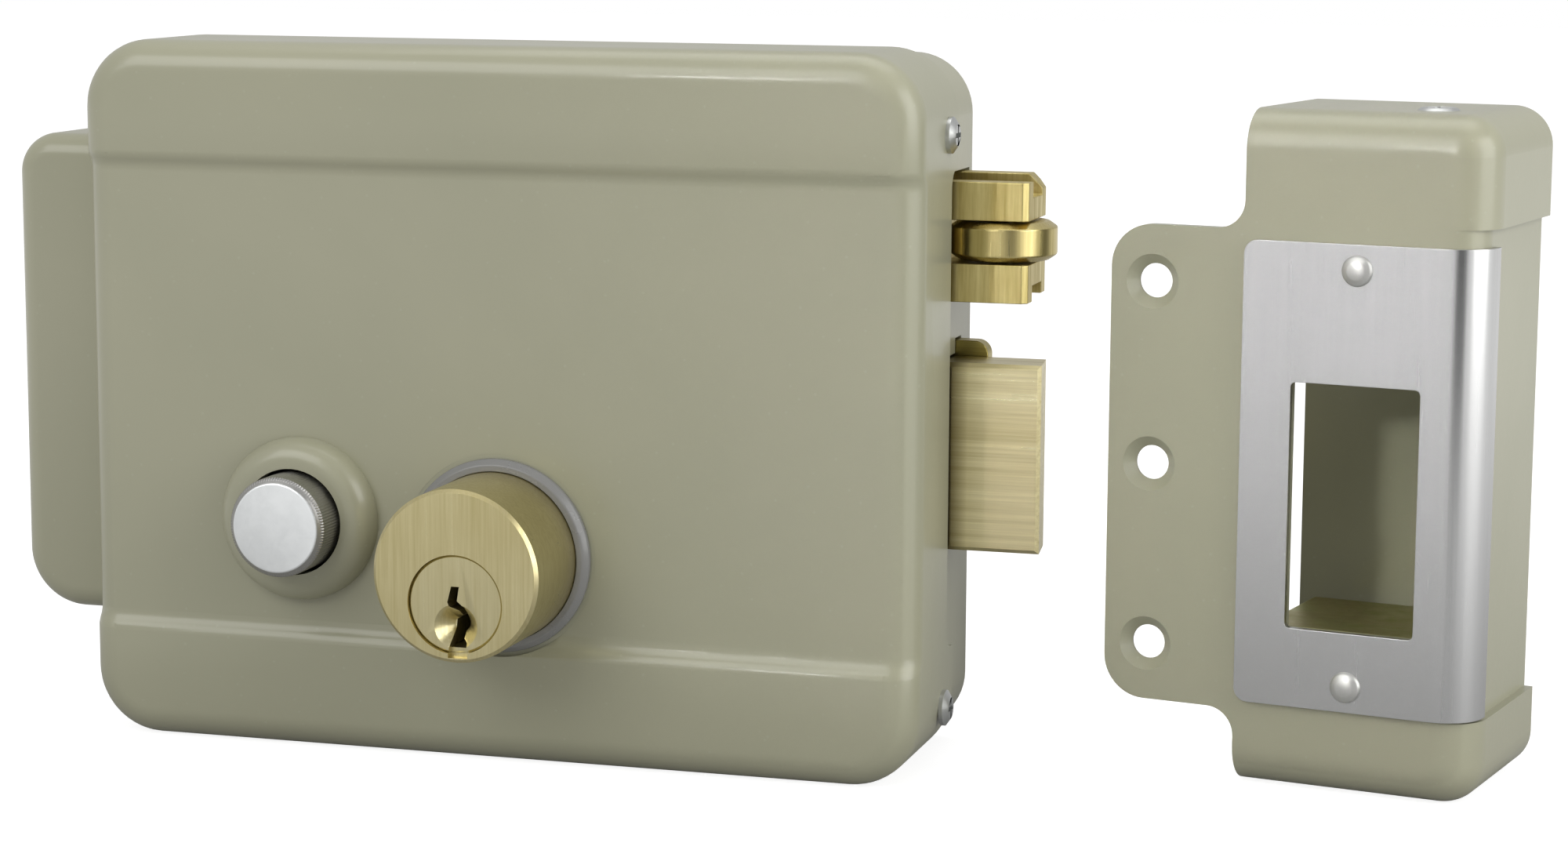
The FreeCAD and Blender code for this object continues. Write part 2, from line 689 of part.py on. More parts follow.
def front_cover():
    """Pressed front cover with raised bands, recessed panel, button boss and corner ears."""
    body = new_body("front_cover")
    rear = case_depth - cover_depth - ear_reach
    pad(Outline(body, "XZ_Plane", rear).rounded(-case_left, case_right, -case_below, case_above,
        case_corner),
        cover_depth + ear_reach)
    dress("Fillet", body, cover_edge, on_plane("Y", -case_depth))
    panel_inner = case_depth - panel_recess - cover_sheet
    hollow = Outline(body, "XZ_Plane", rear)
    hollow.rounded(-case_left + cover_sheet, case_right - cover_sheet, -case_below + cover_sheet,
                   case_above - cover_sheet, case_corner - cover_sheet)
    pocket(hollow, panel_inner - rear, onward=True)
    dress("Fillet", body, cover_edge - cover_sheet, on_plane("Y", -panel_inner))
    low, high = -case_below + panel_bottom, case_above - panel_top
    half, deep = panel_ramp / 2, panel_recess / 2
    start, end = low - half, high + half
    front = -case_depth - press_clear
    bend = (panel_recess * panel_recess + panel_ramp * panel_ramp) / (4 * panel_recess)
    route = Outline(body, "YZ_Plane")
    back = front + panel_recess
    route.run([(front, start), (front + deep, low), (back, low + half), (back, high - half),
               (front + deep, high), (front, end)],
              {0: ((front + bend, start), False), 1: ((back - bend, low + half), True),
               3: ((back - bend, high - half), True), 4: ((front + bend, end), False)})
    press = Outline(body, "XY_Plane", start)
    left, right = -case_left - press_clear, case_right + press_clear
    side = front + cover_edge
    press.path([(left - 3, front - 3), (left - 3, side), (left, side), (left + cover_edge, front),
                (right - cover_edge, front), (right, side), (right + 3, side), (right + 3, front - 3)],
               {2: ((left + cover_edge, side), True), 4: ((right - cover_edge, side), True)})
    sweep(press, route)
    collar_seat = Outline(body, "XZ_Plane", case_depth + 1)
    collar_seat.circle(0, 0, collar_radius + 0.6)
    pocket(collar_seat, panel_recess + 1)
    boss = Outline(body, "XZ_Plane", case_depth - panel_recess - cover_sheet / 2)
    boss.circle(-button_x, button_z, boss_radius)
    pad(boss, boss_height + cover_sheet / 2)
    boss_front = -case_depth + panel_recess - boss_height
    dress("Fillet", body, boss_round, on_plane("Y", boss_front))
    relief = Outline(body, "XZ_Plane", panel_inner - 0.01)
    relief.rectangle(-case_left + cover_edge, case_right - cover_edge, high + half + cover_sheet,
                     case_above - cover_edge)
    relief.rectangle(-case_left + cover_edge, case_right - cover_edge, -case_below + cover_edge,
                     low - half - cover_sheet)
    pocket(relief, panel_recess + 0.01, onward=True)
    inner_boss = Outline(body, "XZ_Plane", panel_inner - 0.01)
    inner_boss.circle(-button_x, button_z, boss_radius - cover_sheet)
    pocket(inner_boss, cover_sheet + boss_height - cover_sheet - boss_round / 2, onward=True)
    holes = Outline(body, "XZ_Plane", case_depth + boss_height)
    holes.circle(-button_x, button_z, boss_hole)
    holes.circle(0, 0, cyl_radius + cyl_hole_gap)
    pocket(holes, boss_height + 4 * cover_sheet)
    lip = Outline(body, "YZ_Plane", case_right + 1)
    lip.rounded(-rear - ear_reach, -rear + 3 * ear_reach, -case_below + ear_height, case_above - ear_height,
                ear_reach * 0.8)
    pocket(lip, case_left + case_right + 2)
    for side in (-1, 1):
        edge_x = -case_left if side < 0 else case_right
        screw_holes = Outline(body, "YZ_Plane", edge_x + side)
        for level in (case_above - side_screw_top, -case_below + side_screw_bottom):
            screw_holes.circle(-side_screw_forward, level, side_screw_shank + hinge_gap)
        pocket(screw_holes, cover_sheet + 2, onward=side < 0)
    return body


def cover_screws():
    """Four raised countersunk screws through the cover's side ears into the tray."""
    screws = []
    for side in (-1, 1):
        face = -case_left if side < 0 else case_right
        for level in (case_above - side_screw_top, -case_below + side_screw_bottom):
            screw = turned("side_screw", [
                (0, -side_screw_length), (side_screw_shank, -side_screw_length), (side_screw_shank, 0),
                (side_screw_head, 0), (side_screw_head, side_screw_dome * 0.45),
                (side_screw_head * 0.6, side_screw_dome), (0, side_screw_dome)],
                x=face, y=-side_screw_forward, z=level, axis=V(0, 1, 0), angle=90 * side)
            cross_recess(screw, side_screw_head, side_screw_dome)
            screws.append(screw)
    return group("cover_screws", screws)


def side_extension():
    """Hollow side box that covers the ear of the tray."""
    body = new_body("side_extension")
    left, right = -case_left - ext_width, -case_left - nest_gap
    pad(Outline(body, "XZ_Plane", back_sheet).rounded(left, right + ext_edge * 3, -ext_bottom, ext_top,
        ext_corner_top, ext_corner_bottom), ext_depth - back_sheet)
    dress("Fillet", body, ext_edge, on_plane("Y", -ext_depth))
    trim = Outline(body, "XZ_Plane", ext_depth + 1)
    trim.rectangle(right, right + ext_edge * 4, -ext_bottom - 1, ext_top + 1)
    pocket(trim, ext_depth)
    hollow = Outline(body, "XZ_Plane", back_sheet)
    low, high, inner = -ext_bottom + ext_sheet, ext_top - ext_sheet, left + ext_sheet
    down, up = ext_corner_bottom - ext_sheet, ext_corner_top - ext_sheet
    hollow.path([(inner + down, low), (right - ext_sheet, low), (right - ext_sheet, high),
        (inner + up, high),
                 (inner, high - up), (inner, low + down)],
                {3: ((inner + up, high - up), True), 5: ((inner + down, low + down), True)})
    pocket(hollow, ext_depth - back_sheet - ext_front, onward=True)
    return body


def cylinder_parts():
    """Fixed cylinder body, its plastic collar, plug, pinion, clip, carrier and screws."""
    bore = plug_radius + hinge_gap
    body = turned("cylinder_body", [(0, cyl_back), (cyl_radius, cyl_back),
        (cyl_radius, cyl_front - cyl_chamfer),
                                    (cyl_radius - cyl_chamfer, cyl_front), (0, cyl_front)], **FORWARD)
    pocket(Outline(body, "XY_Plane", cyl_front + 1).circle(0, -plug_drop, bore), cyl_front - cyl_back + 2)
    threads = Outline(body, "XY_Plane", cyl_back)
    for side in (-1, 1):
        threads.circle(side * carrier_screw_x, carrier_screw_z, carrier_screw_shank)
    pocket(threads, carrier_screw_grip + carrier_screw_room, onward=True)
    notch = Outline(body, "XY_Plane", cyl_front + 1)
    notch.rectangle(keyway_width * -0.9, keyway_width * 1.5, -plug_drop - plug_radius - 0.6,
                    -plug_drop - plug_radius + 1)
    pocket(notch, notch_depth + plug_recess + 1)
    spots = [cyl_back + pin_start + pin_pitch * count for count in range(pin_count)]
    plug_top = plug_radius - plug_drop
    chambers = Outline(body, "XZ_Plane", -pin_chamber_top)
    for spot in spots:
        chambers.circle(0, spot, pin_radius + hinge_gap)
    pocket(chambers, pin_chamber_top - plug_top + 0.5, onward=True)
    seat = case_depth - panel_recess
    collar = turned("cylinder_collar", [
        (cyl_radius + hinge_gap, seat), (collar_radius, seat), (collar_radius, seat + collar_height * 0.5),
        (collar_radius - collar_height * 0.5, seat + collar_height), (cyl_radius + hinge_gap,
        seat + collar_height)],
        **FORWARD)
    plug_front = cyl_front - plug_recess
    plug_back = cyl_back + slide_gap
    plug = turned("cylinder_plug", [(0, plug_end), (plug_shank, plug_end), (plug_shank, plug_back),
                                    (plug_radius, plug_back), (plug_radius, plug_front - 0.3),
                                    (plug_radius - 0.3, plug_front), (0, plug_front)],
                  z=-plug_drop, **FORWARD)
    wide = keyway_width
    keyway = Outline(plug, "XY_Plane", plug_front + 1)
    keyway.path([(wide * -0.55, keyway_top), (wide * -1.05, wide * 0.2), (wide * -0.8, wide * -0.4),
                 (wide * 0.05, wide * -0.9), (wide * 0.3, wide * -1.5), (wide * -0.55, wide * -2.1),
                 (wide * -0.9, -keyway_bottom), (wide * 1.35, -keyway_bottom), (wide * 1.2, wide * -4.6),
                 (wide * 0.65, wide * -4.2), (wide * 0.65, wide * -3.4), (wide * 1.25, wide * -2.75),
                 (wide * 1.4, wide * -2.1), (wide * 1.0, wide * -0.35), (wide * 0.15, wide * 0.4),
                 (wide * 0.42, keyway_top)])
    pocket(keyway, plug_front - plug_back - 4)
    exit_notch = Outline(plug, "XY_Plane", plug_front + 1)
    exit_notch.rectangle(wide * -0.9, wide * 1.5, -plug_radius - 1, -keyway_bottom + 0.1)
    pocket(exit_notch, notch_depth + 1)
    dimple = plug.newObject("PartDesign::SubtractiveCone", "key_dimple")
    planes = [item for item in plug.Origin.OriginFeatures if item.Role == "XY_Plane"]
    dimple.AttachmentSupport = (planes[0], [""])
    dimple.MapMode = "FlatFace"
    bind(dimple, "AttachmentOffset.Base.y", -key_dimple_drop)
    bind(dimple, "AttachmentOffset.Base.z", plug_front - key_dimple_depth)
    bind(dimple, "Radius1", key_dimple * 0.3)
    bind(dimple, "Radius2", key_dimple)
    bind(dimple, "Height", key_dimple_depth)
    pin_ledge = keyway_top - 0.5
    pin_bores = Outline(plug, "XZ_Plane", -plug_radius - 1)
    for spot in spots:
        pin_bores.circle(0, spot, pin_radius + hinge_gap)
    pocket(pin_bores, plug_radius + 1 - pin_ledge, onward=True)
    key_pins, drivers, springs = [], [], []
    driver_foot = plug_top + hinge_gap * 2
    for spot in spots:
        key_pins.append(rod("key_pin", pin_radius, plug_radius - pin_ledge - pin_slack, y=-spot,
                            z=pin_ledge - plug_drop))
        drivers.append(rod("driver_pin", pin_radius, pin_height, y=-spot, z=driver_foot))
        room = (pin_chamber_top - driver_foot - pin_height).value
        springs.append(coil("pin_spring", pin_radius.value - 0.25, 0.35, room - 0.1, 5, 8, y=-spot,
                            z=driver_foot + pin_height + 0.05))
    group("key_pins", key_pins)
    group("cylinder_pins", drivers)
    group("pin_springs", springs)
    web = carrier_sheet
    carrier = new_body("cylinder_carrier")
    pad(Outline(carrier, "XZ_Plane", cyl_back - web).rectangle(-carrier_half_width - web,
        carrier_half_width + web,
        -carrier_bottom, carrier_top), web)
    shank_way = Outline(carrier, "XZ_Plane", cyl_back)
    shank_way.circle(0, -plug_drop, plug_shank + hinge_gap)
    for side in (-1, 1):
        shank_way.circle(side * carrier_screw_x, carrier_screw_z, carrier_screw_shank + hinge_gap)
    pocket(shank_way, web)
    leg_top = bolt_bottom - 2
    legs = Outline(carrier, "XZ_Plane", back_sheet)
    for side in (-1, 1):
        inner, outer = side * carrier_half_width, side * (carrier_half_width + web)
        legs.rectangle(inner, outer, -carrier_bottom, leg_top)
    pad(legs, cyl_back - web - back_sheet)
    feet = Outline(carrier, "XZ_Plane", back_sheet)
    for side in (-1, 1):
        outer = side * (carrier_half_width + web)
        feet.rectangle(outer, outer + side * carrier_foot, -carrier_bottom,
            -carrier_bottom + carrier_foot * 1.6)
    pad(feet, web)
    screws = []
    for side in (-1, 1):
        head_face = cyl_back - web - carrier_screw_height
        screws.append(turned("carrier_screw", [
            (0, head_face), (carrier_screw_head, head_face), (carrier_screw_head, cyl_back - web),
            (carrier_screw_shank, cyl_back - web), (carrier_screw_shank, cyl_back + carrier_screw_grip),
            (0, cyl_back + carrier_screw_grip)],
            x=side * carrier_screw_x, z=carrier_screw_z, **FORWARD))
        cross_recess(screws[-1], carrier_screw_head, head_face, below=True)
    group("cylinder_screws", screws)
    return body, collar, plug, carrier


def pinion_profile():
    """Return the points of the plug pinion's outline, one tooth pointing up."""
    pitch_radius = tooth_module * tooth_count / 2
    tip, root = pitch_radius + tooth_height, pitch_radius - tooth_root
    half_pitch = tooth_module * math.pi / 4 - tooth_backlash / 2
    step = 2 * math.pi / tooth_count
    points = []
    for tooth in range(tooth_count):
        middle = math.pi / 2 - tooth * step
        low = (half_pitch * 1.3) / root
        high = (half_pitch * 0.5) / tip
        for radius, lean in ((root, low), (tip, high), (tip, -high), (root, -low)):
            angle_value = middle + lean.value
            points.append((radius, angle_value))
    return points


def deadbolt_parts():
    """Brass deadbolt, its toothed steel tail, the rivets between them and the plug's pinion."""
    front = bolt_forward + bolt_depth
    tip = case_right + bolt_proud
    bolt = new_body("deadbolt")
    pad(Outline(bolt, "XZ_Plane", bolt_forward).rectangle(tip - bolt_length, tip, bolt_bottom,
        bolt_bottom + bolt_height), bolt_depth)
    slope = Outline(bolt, "XY_Plane", bolt_bottom - 1)
    slope.path([(tip, -front), (tip + 1, -front), (tip + 1, -bolt_forward + 1),
        (tip - bolt_slope, -bolt_forward + 1),
                (tip - bolt_slope, -bolt_forward)])
    pocket(slope, bolt_height + 2, onward=True)
    dress("Chamfer", bolt, bolt_chamfer, on_plane("Y", -front))
    lap_right = tip - bolt_length + tail_lap
    pitch_line = -plug_drop + tooth_module * tooth_count / 2
    tooth_pitch = tooth_module * math.pi
    rivet_spots = [(lap_right - tail_lap / 2, bolt_bottom + bolt_height * 0.25),
                   (lap_right - tail_lap / 2, bolt_bottom + bolt_height * 0.7)]
    rivet_holes = Outline(bolt, "XZ_Plane", front)
    for x, z in rivet_spots:
        rivet_holes.circle(x, z, rivet_shank)
    pocket(rivet_holes, bolt_depth)
    tail = new_body("bolt_tail")
    plate = Outline(tail, "XZ_Plane", front)
    plate.rectangle(-tail_left, lap_right, pitch_line - tooth_height, tail_top)
    pad(plate, tail_sheet)
    slot = Outline(tail, "XZ_Plane", front + tail_sheet)
    slot.slot(tail_stud_x, tail_stud_x + bolt_throw, tail_stud_z, tail_stud + slide_gap)
    for x, z in rivet_spots:
        slot.circle(x, z, rivet_shank)
    pocket(slot, tail_sheet)
    half = tooth_pitch / 4 + tooth_backlash / 2
    gap = Outline(tail, "XZ_Plane", front + tail_sheet)
    start = -tooth_pitch
    top, bottom = pitch_line + tooth_root, pitch_line - tooth_height - 0.01
    lean = 0.36
    gap.path([(start - half - tooth_height * lean, bottom), (start + half + tooth_height * lean, bottom),
              (start + half - tooth_root * lean, top), (start - half + tooth_root * lean, top)])
    first_gap = pocket(gap, tail_sheet)
    gaps = tail.newObject("PartDesign::LinearPattern", "rack_gaps")
    gaps.Originals = [first_gap]
    gaps.Direction = (gap.sketch, ["H_Axis"])
    gap_count = int((bolt_throw.value + 3 * tooth_pitch.value) / tooth_pitch.value) + 1
    bind(gaps, "Length", tooth_pitch * (gap_count - 1))
    gaps.Occurrences = gap_count
    tail.Tip = gaps
    rivets = []
    for x, z in rivet_spots:
        rivets.append(turned("bolt_rivet", [
            (0, bolt_forward + 0.2), (rivet_shank, bolt_forward + 0.2), (rivet_shank, front + tail_sheet),
            (rivet_head, front + tail_sheet), (rivet_head * 0.6, front + tail_sheet + rivet_height),
            (0, front + tail_sheet + rivet_height)], x=x, z=z, **FORWARD))
    group("bolt_rivets", rivets)
    pinion = new_body("plug_pinion", z=-plug_drop, **FORWARD)
    outline = Outline(pinion, "XY_Plane", front + tail_sheet / 2 - pinion_width / 2)
    outline.path([(radius * math.cos(angle), radius * math.sin(angle)) for radius,
        angle in pinion_profile()])
    pad(outline, pinion_width)
    shank_hole = Outline(pinion, "XY_Plane", front + tail_sheet + pinion_width)
    shank_hole.circle(0, 0, plug_shank)
    pocket(shank_hole, 3 * pinion_width)
    clip_face = cyl_back - carrier_sheet - 0.2
    turned("plug_clip", [(plug_shank, clip_face - clip_sheet), (plug_shank + 1.6, clip_face - clip_sheet),
                         (plug_shank + 1.6, clip_face), (plug_shank, clip_face)], z=-plug_drop, **FORWARD)
    return bolt, tail, pinion


def latch_parts():
    """Brass latch fork with roller, roller pin, steel pull strip, its rivets and the return spring."""
    front, rear = -latch_forward - latch_depth, -latch_forward
    middle_y = -latch_forward - latch_depth / 2
    tip = case_right + latch_proud
    left = tip - latch_length
    low, high = latch_middle - latch_height / 2, latch_middle + latch_height / 2
    centre = case_right + roller_proud - roller_radius
    fork = new_body("latch_fork")
    block = Outline(fork, "XY_Plane", low)
    block.path([(left, front), (tip - 0.8, front), (tip, front + 0.8), (tip, rear - latch_corner * 0.5),
                (tip - latch_corner * 0.5, rear), (left, rear)])
    pad(block, latch_height + latch_lift)
    mouth = Outline(fork, "XZ_Plane", latch_forward + latch_depth + 1)
    reach = centre - roller_radius - roller_gap
    half = roller_height / 2 + roller_gap
    mouth.rectangle(reach, tip + 1, latch_middle - half, latch_middle + half)
    pocket(mouth, latch_depth + 2)
    groove = Outline(fork, "YZ_Plane", tip + 1)
    top, heel = high + latch_lift, low + latch_lift
    groove.path([(front - 1, high), (front + latch_leg, high), (front + latch_leg, high - latch_groove),
                 (rear - latch_leg, high - latch_groove), (rear - latch_leg, top + 1),
                 (front - 1, top + 1)])
    groove.path([(front + latch_leg, low - 1), (rear + 1, low - 1), (rear + 1, heel),
        (rear - latch_leg, heel),
                 (rear - latch_leg, low + latch_groove), (front + latch_leg, low + latch_groove)])
    pocket(groove, latch_length + 2)
    dress("Chamfer", fork, latch_corner, lambda edge: on_plane("X", tip)(edge) and on_plane("Z",
        high + latch_lift)(edge)
          and edge.BoundBox.YMin > (rear - latch_leg).value - 0.1)
    pin_hole = Outline(fork, "XY_Plane", high - latch_groove)
    pin_hole.circle(centre, middle_y, roller_pin)
    pocket(pin_hole, latch_height - latch_groove * 2)
    spring_bore = Outline(fork, "YZ_Plane", left)
    spring_bore.circle(middle_y, latch_middle, latch_rod + slide_gap)
    pocket(spring_bore, latch_travel + 4, onward=True)
    roller = turned("latch_roller", [
        (roller_pin + hinge_gap, -roller_height / 2), (roller_radius - roller_chamfer, -roller_height / 2),
        (roller_radius, -roller_height / 2 + roller_chamfer * 0.7), (roller_radius,
        roller_height / 2 - roller_chamfer * 0.7),
        (roller_radius - roller_chamfer, roller_height / 2), (roller_pin + hinge_gap, roller_height / 2)],
        x=centre, y=middle_y, z=latch_middle)
    pin = rod("roller_pin", roller_pin, latch_height - latch_groove * 2, x=centre, y=middle_y,
        z=low + latch_groove)
    pin.Label = "roller_pin"
    strip_back = latch_forward + latch_depth
    pull_left = -rocker_x - rocker_pin - slide_gap - pull_sheet
    pull = new_body("latch_pull")
    pad(Outline(pull, "XZ_Plane", strip_back).rectangle(pull_left, left + pull_lap,
        latch_middle - pull_half_height,
        latch_middle + pull_half_height), pull_sheet)
    pad(Outline(pull, "XZ_Plane", strip_back + pull_sheet).rectangle(pull_left, pull_left + pull_sheet,
        latch_middle - pull_half_height, latch_middle + pull_half_height),
        pull_tab_reach - strip_back - pull_sheet)
    rivet_spots = [(left + pull_lap * 0.3, latch_middle + 1.6), (left + pull_lap * 0.72,
        latch_middle - 1.6)]
    holes = Outline(pull, "XZ_Plane", strip_back + pull_sheet)
    sockets = Outline(fork, "XZ_Plane", strip_back)
    for x, z in rivet_spots:
        holes.circle(x, z, rivet_shank * 0.8)
        sockets.circle(x, z, rivet_shank * 0.8)
    pocket(holes, pull_sheet)
    pocket(sockets, latch_depth * 0.25)
    rivets = []
    for x, z in rivet_spots:
        rivets.append(turned("pull_rivet", [
            (0, strip_back - latch_depth * 0.25), (rivet_shank * 0.8, strip_back - latch_depth * 0.25),
            (rivet_shank * 0.8, strip_back + pull_sheet), (rivet_head * 0.7, strip_back + pull_sheet),
            (rivet_head * 0.4, strip_back + pull_sheet + rivet_height), (0,
            strip_back + pull_sheet + rivet_height)],
            x=x, z=z, **FORWARD))
    group("pull_rivets", rivets)
    seat = spring_seat_x + frame_sheet
    coil("latch_spring", latch_spring_radius.value - spring_wire.value / 2, spring_wire.value,
         (left - seat).value - 0.2, 7, 8, x=seat, y=middle_y, z=latch_middle, **SIDEWAYS)
    return fork, roller, pull


def latch_fixings():
    """Strap that guides the latch inside the case, and the seat and rod of its spring."""
    middle_y = -latch_forward - latch_depth / 2
    tip = case_right + latch_proud
    left = tip - latch_length
    low, high = latch_middle - latch_height / 2, latch_middle + latch_height / 2 + latch_lift
    strap_left = left + pull_lap + strap_gap
    strap_wide = case_right - cover_sheet - nest_gap - housing_sheet - strap_gap - strap_left
    strap = new_body("latch_strap")
    side = bracket_sheet
    bridge = middle_y - roller_radius - slide_gap
    pad(Outline(strap, "YZ_Plane", strap_left).path([
        (-back_sheet, low - slide_gap), (bridge, low - slide_gap), (bridge, high + slide_gap),
        (-back_sheet, high + slide_gap), (-back_sheet, high + slide_gap + side),
        (bridge - side, high + slide_gap + side), (bridge - side, low - slide_gap - side),
        (-back_sheet, low - slide_gap - side)]), strap_wide)
    seat = new_body("spring_seat")
    pad(Outline(seat, "YZ_Plane", spring_seat_x).rectangle(middle_y - latch_spring_radius, -back_sheet,
        latch_middle - latch_spring_radius, latch_middle + latch_spring_radius), frame_sheet)
    pad(Outline(seat, "XZ_Plane", back_sheet).rectangle(spring_seat_x - 6, spring_seat_x,
        latch_middle - latch_spring_radius, latch_middle + latch_spring_radius), frame_sheet)
    pad(Outline(seat, "YZ_Plane", spring_seat_x + frame_sheet).circle(middle_y, latch_middle, latch_rod),
        left + 3 - spring_seat_x - frame_sheet)
    return strap, seat


def trigger_parts():
    """Spring tongue behind the deadbolt, its studs and its spring."""
    tip = case_right + trigger_proud
    left = tip - trigger_length
    tongue = new_body("trigger_tongue")
    outline = Outline(tongue, "XZ_Plane", trigger_forward)
    outline.rounded(left, tip, trigger_bottom, trigger_top, 2)
    pad(outline, trigger_depth)
    middle_z = (trigger_bottom + trigger_top) / 2
    slot = Outline(tongue, "XZ_Plane", trigger_forward + trigger_depth)
    slot.slot(trigger_stud_x, trigger_stud_x + trigger_travel, middle_z, trigger_stud + slide_gap)
    pocket(slot, trigger_depth)
    studs = [turned("trigger_stud", [
        (0, back_sheet), (trigger_stud * 2, back_sheet), (trigger_stud * 2, trigger_forward - slide_gap),
        (trigger_stud, trigger_forward - slide_gap), (trigger_stud, trigger_forward + trigger_depth + 0.2),
        (0, trigger_forward + trigger_depth + 0.2)], x=trigger_stud_x, z=middle_z, **FORWARD)]
    front = bolt_forward + bolt_depth
    studs.append(turned("tail_stud", [
        (0, back_sheet), (tail_stud * 1.8, back_sheet), (tail_stud * 1.8, front - slide_gap),
        (tail_stud, front - slide_gap), (tail_stud, front + tail_sheet + 0.4),
        (0, front + tail_sheet + 0.4)],
        x=tail_stud_x, z=tail_stud_z, **FORWARD))
    group("guide_studs", studs)
    stop = new_body("trigger_spring_seat")
    spring_length = 9
    seat_x = left - spring_length
    half_height = 4
    pad(Outline(stop, "XZ_Plane", back_sheet).rectangle(seat_x - bracket_sheet, seat_x,
        middle_z - half_height,
        middle_z + half_height), bolt_forward - back_sheet - 1)
    coil("trigger_spring", trigger_depth.value / 2, 0.6, spring_length - 0.2, 5, 8,
         x=seat_x, y=-trigger_forward - trigger_depth / 2, z=middle_z, **SIDEWAYS)
    return tongue, stop


def button_parts():
    """Push button, its cup guide behind the cover, the clip and the return spring."""
    inner = case_depth - panel_recess - cover_sheet
    stem_end = rocker_forward + rocker_arm / 2 + slide_gap
    button = turned("push_button", [
        (0, stem_end), (button_stem, stem_end + button_stem),
        (button_stem, button_back), (button_radius, button_back), (button_radius,
        button_front - button_chamfer),
        (button_radius - button_chamfer, button_front), (0, button_front)],
        {0: ((0, stem_end + button_stem), True)}, x=-button_x, z=button_z, **FORWARD)
    guide = turned("button_guide", [
        (button_stem + hinge_gap, guide_back), (guide_radius, guide_back),
        (guide_radius, inner - guide_wall),
        (guide_flange, inner - guide_wall), (guide_flange, inner), (guide_radius - guide_wall, inner),
        (guide_radius - guide_wall, guide_back + guide_wall), (button_stem + hinge_gap,
        guide_back + guide_wall)],
        x=-button_x, z=button_z, **FORWARD)
    clip_front = guide_back - 0.1
    clip = turned("button_clip", [(button_stem, clip_front - clip_sheet),
        (clip_radius, clip_front - clip_sheet),
                                  (clip_radius, clip_front), (button_stem, clip_front)],
                  x=-button_x, z=button_z, **FORWARD)
    spring_base = guide_back + guide_wall
    coil("button_spring", 5.6, 0.9, (button_back - spring_base).value, 4, 10,
         x=-button_x, y=-spring_base, z=button_z, **FORWARD)
    return button, guide, clip


def rocker_parts():
    """Upright rocker with its two arms, and the bracket that carries it."""
    x, y = -rocker_x, -rocker_forward
    rocker = new_body("rocker", x=x, y=y)
    pad(Outline(rocker, "XY_Plane", -rocker_bottom).circle(0, 0, rocker_shaft), rocker_top + rocker_bottom)
    low = button_z - rocker_push_height / 2
    hub = Outline(rocker, "XY_Plane", low)
    hub.circle(0, 0, rocker_hub)
    pad(hub, rocker_push_height)
    push_arm = Outline(rocker, "XY_Plane", low)
    push_arm.rectangle(-rocker_push_reach, 0, -rocker_arm / 2, rocker_arm / 2)
    pad(push_arm, rocker_push_height)
    pad(Outline(rocker, "XY_Plane", rocker_pull_bottom).circle(0, 0, rocker_hub), rocker_pull_height)
    pull_arm = Outline(rocker, "XY_Plane", rocker_pull_bottom)
    pull_arm.rectangle(-rocker_arm / 2, rocker_arm / 2, -rocker_pull_reach - rocker_pin, 0)
    pad(pull_arm, rocker_pull_height)
    pin_low = latch_middle - pull_half_height + 1
    pad(Outline(rocker, "XY_Plane", pin_low).circle(0, -rocker_pull_reach, rocker_pin),
        rocker_pull_bottom - pin_low + 0.5)
    bracket = new_body("rocker_bracket", x=x)
    half, ear_end = bracket_half_width, rocker_forward + bracket_half_width * 0.8
    pad(Outline(bracket, "XZ_Plane", back_sheet).rectangle(-half, half, -bracket_low_ear,
        bracket_high_ear + bracket_sheet), bracket_sheet)
    for level in (-bracket_low_ear, bracket_high_ear):
        pad(Outline(bracket, "XY_Plane", level).rectangle(-half, half, -ear_end, -back_sheet),
            bracket_sheet)
    bore = Outline(bracket, "XY_Plane", -bracket_low_ear - 1)
    bore.circle(0, -rocker_forward, rocker_shaft + hinge_gap)
    pocket(bore, bracket_high_ear + bracket_low_ear + bracket_sheet + 2, onward=True)
    return rocker, bracket


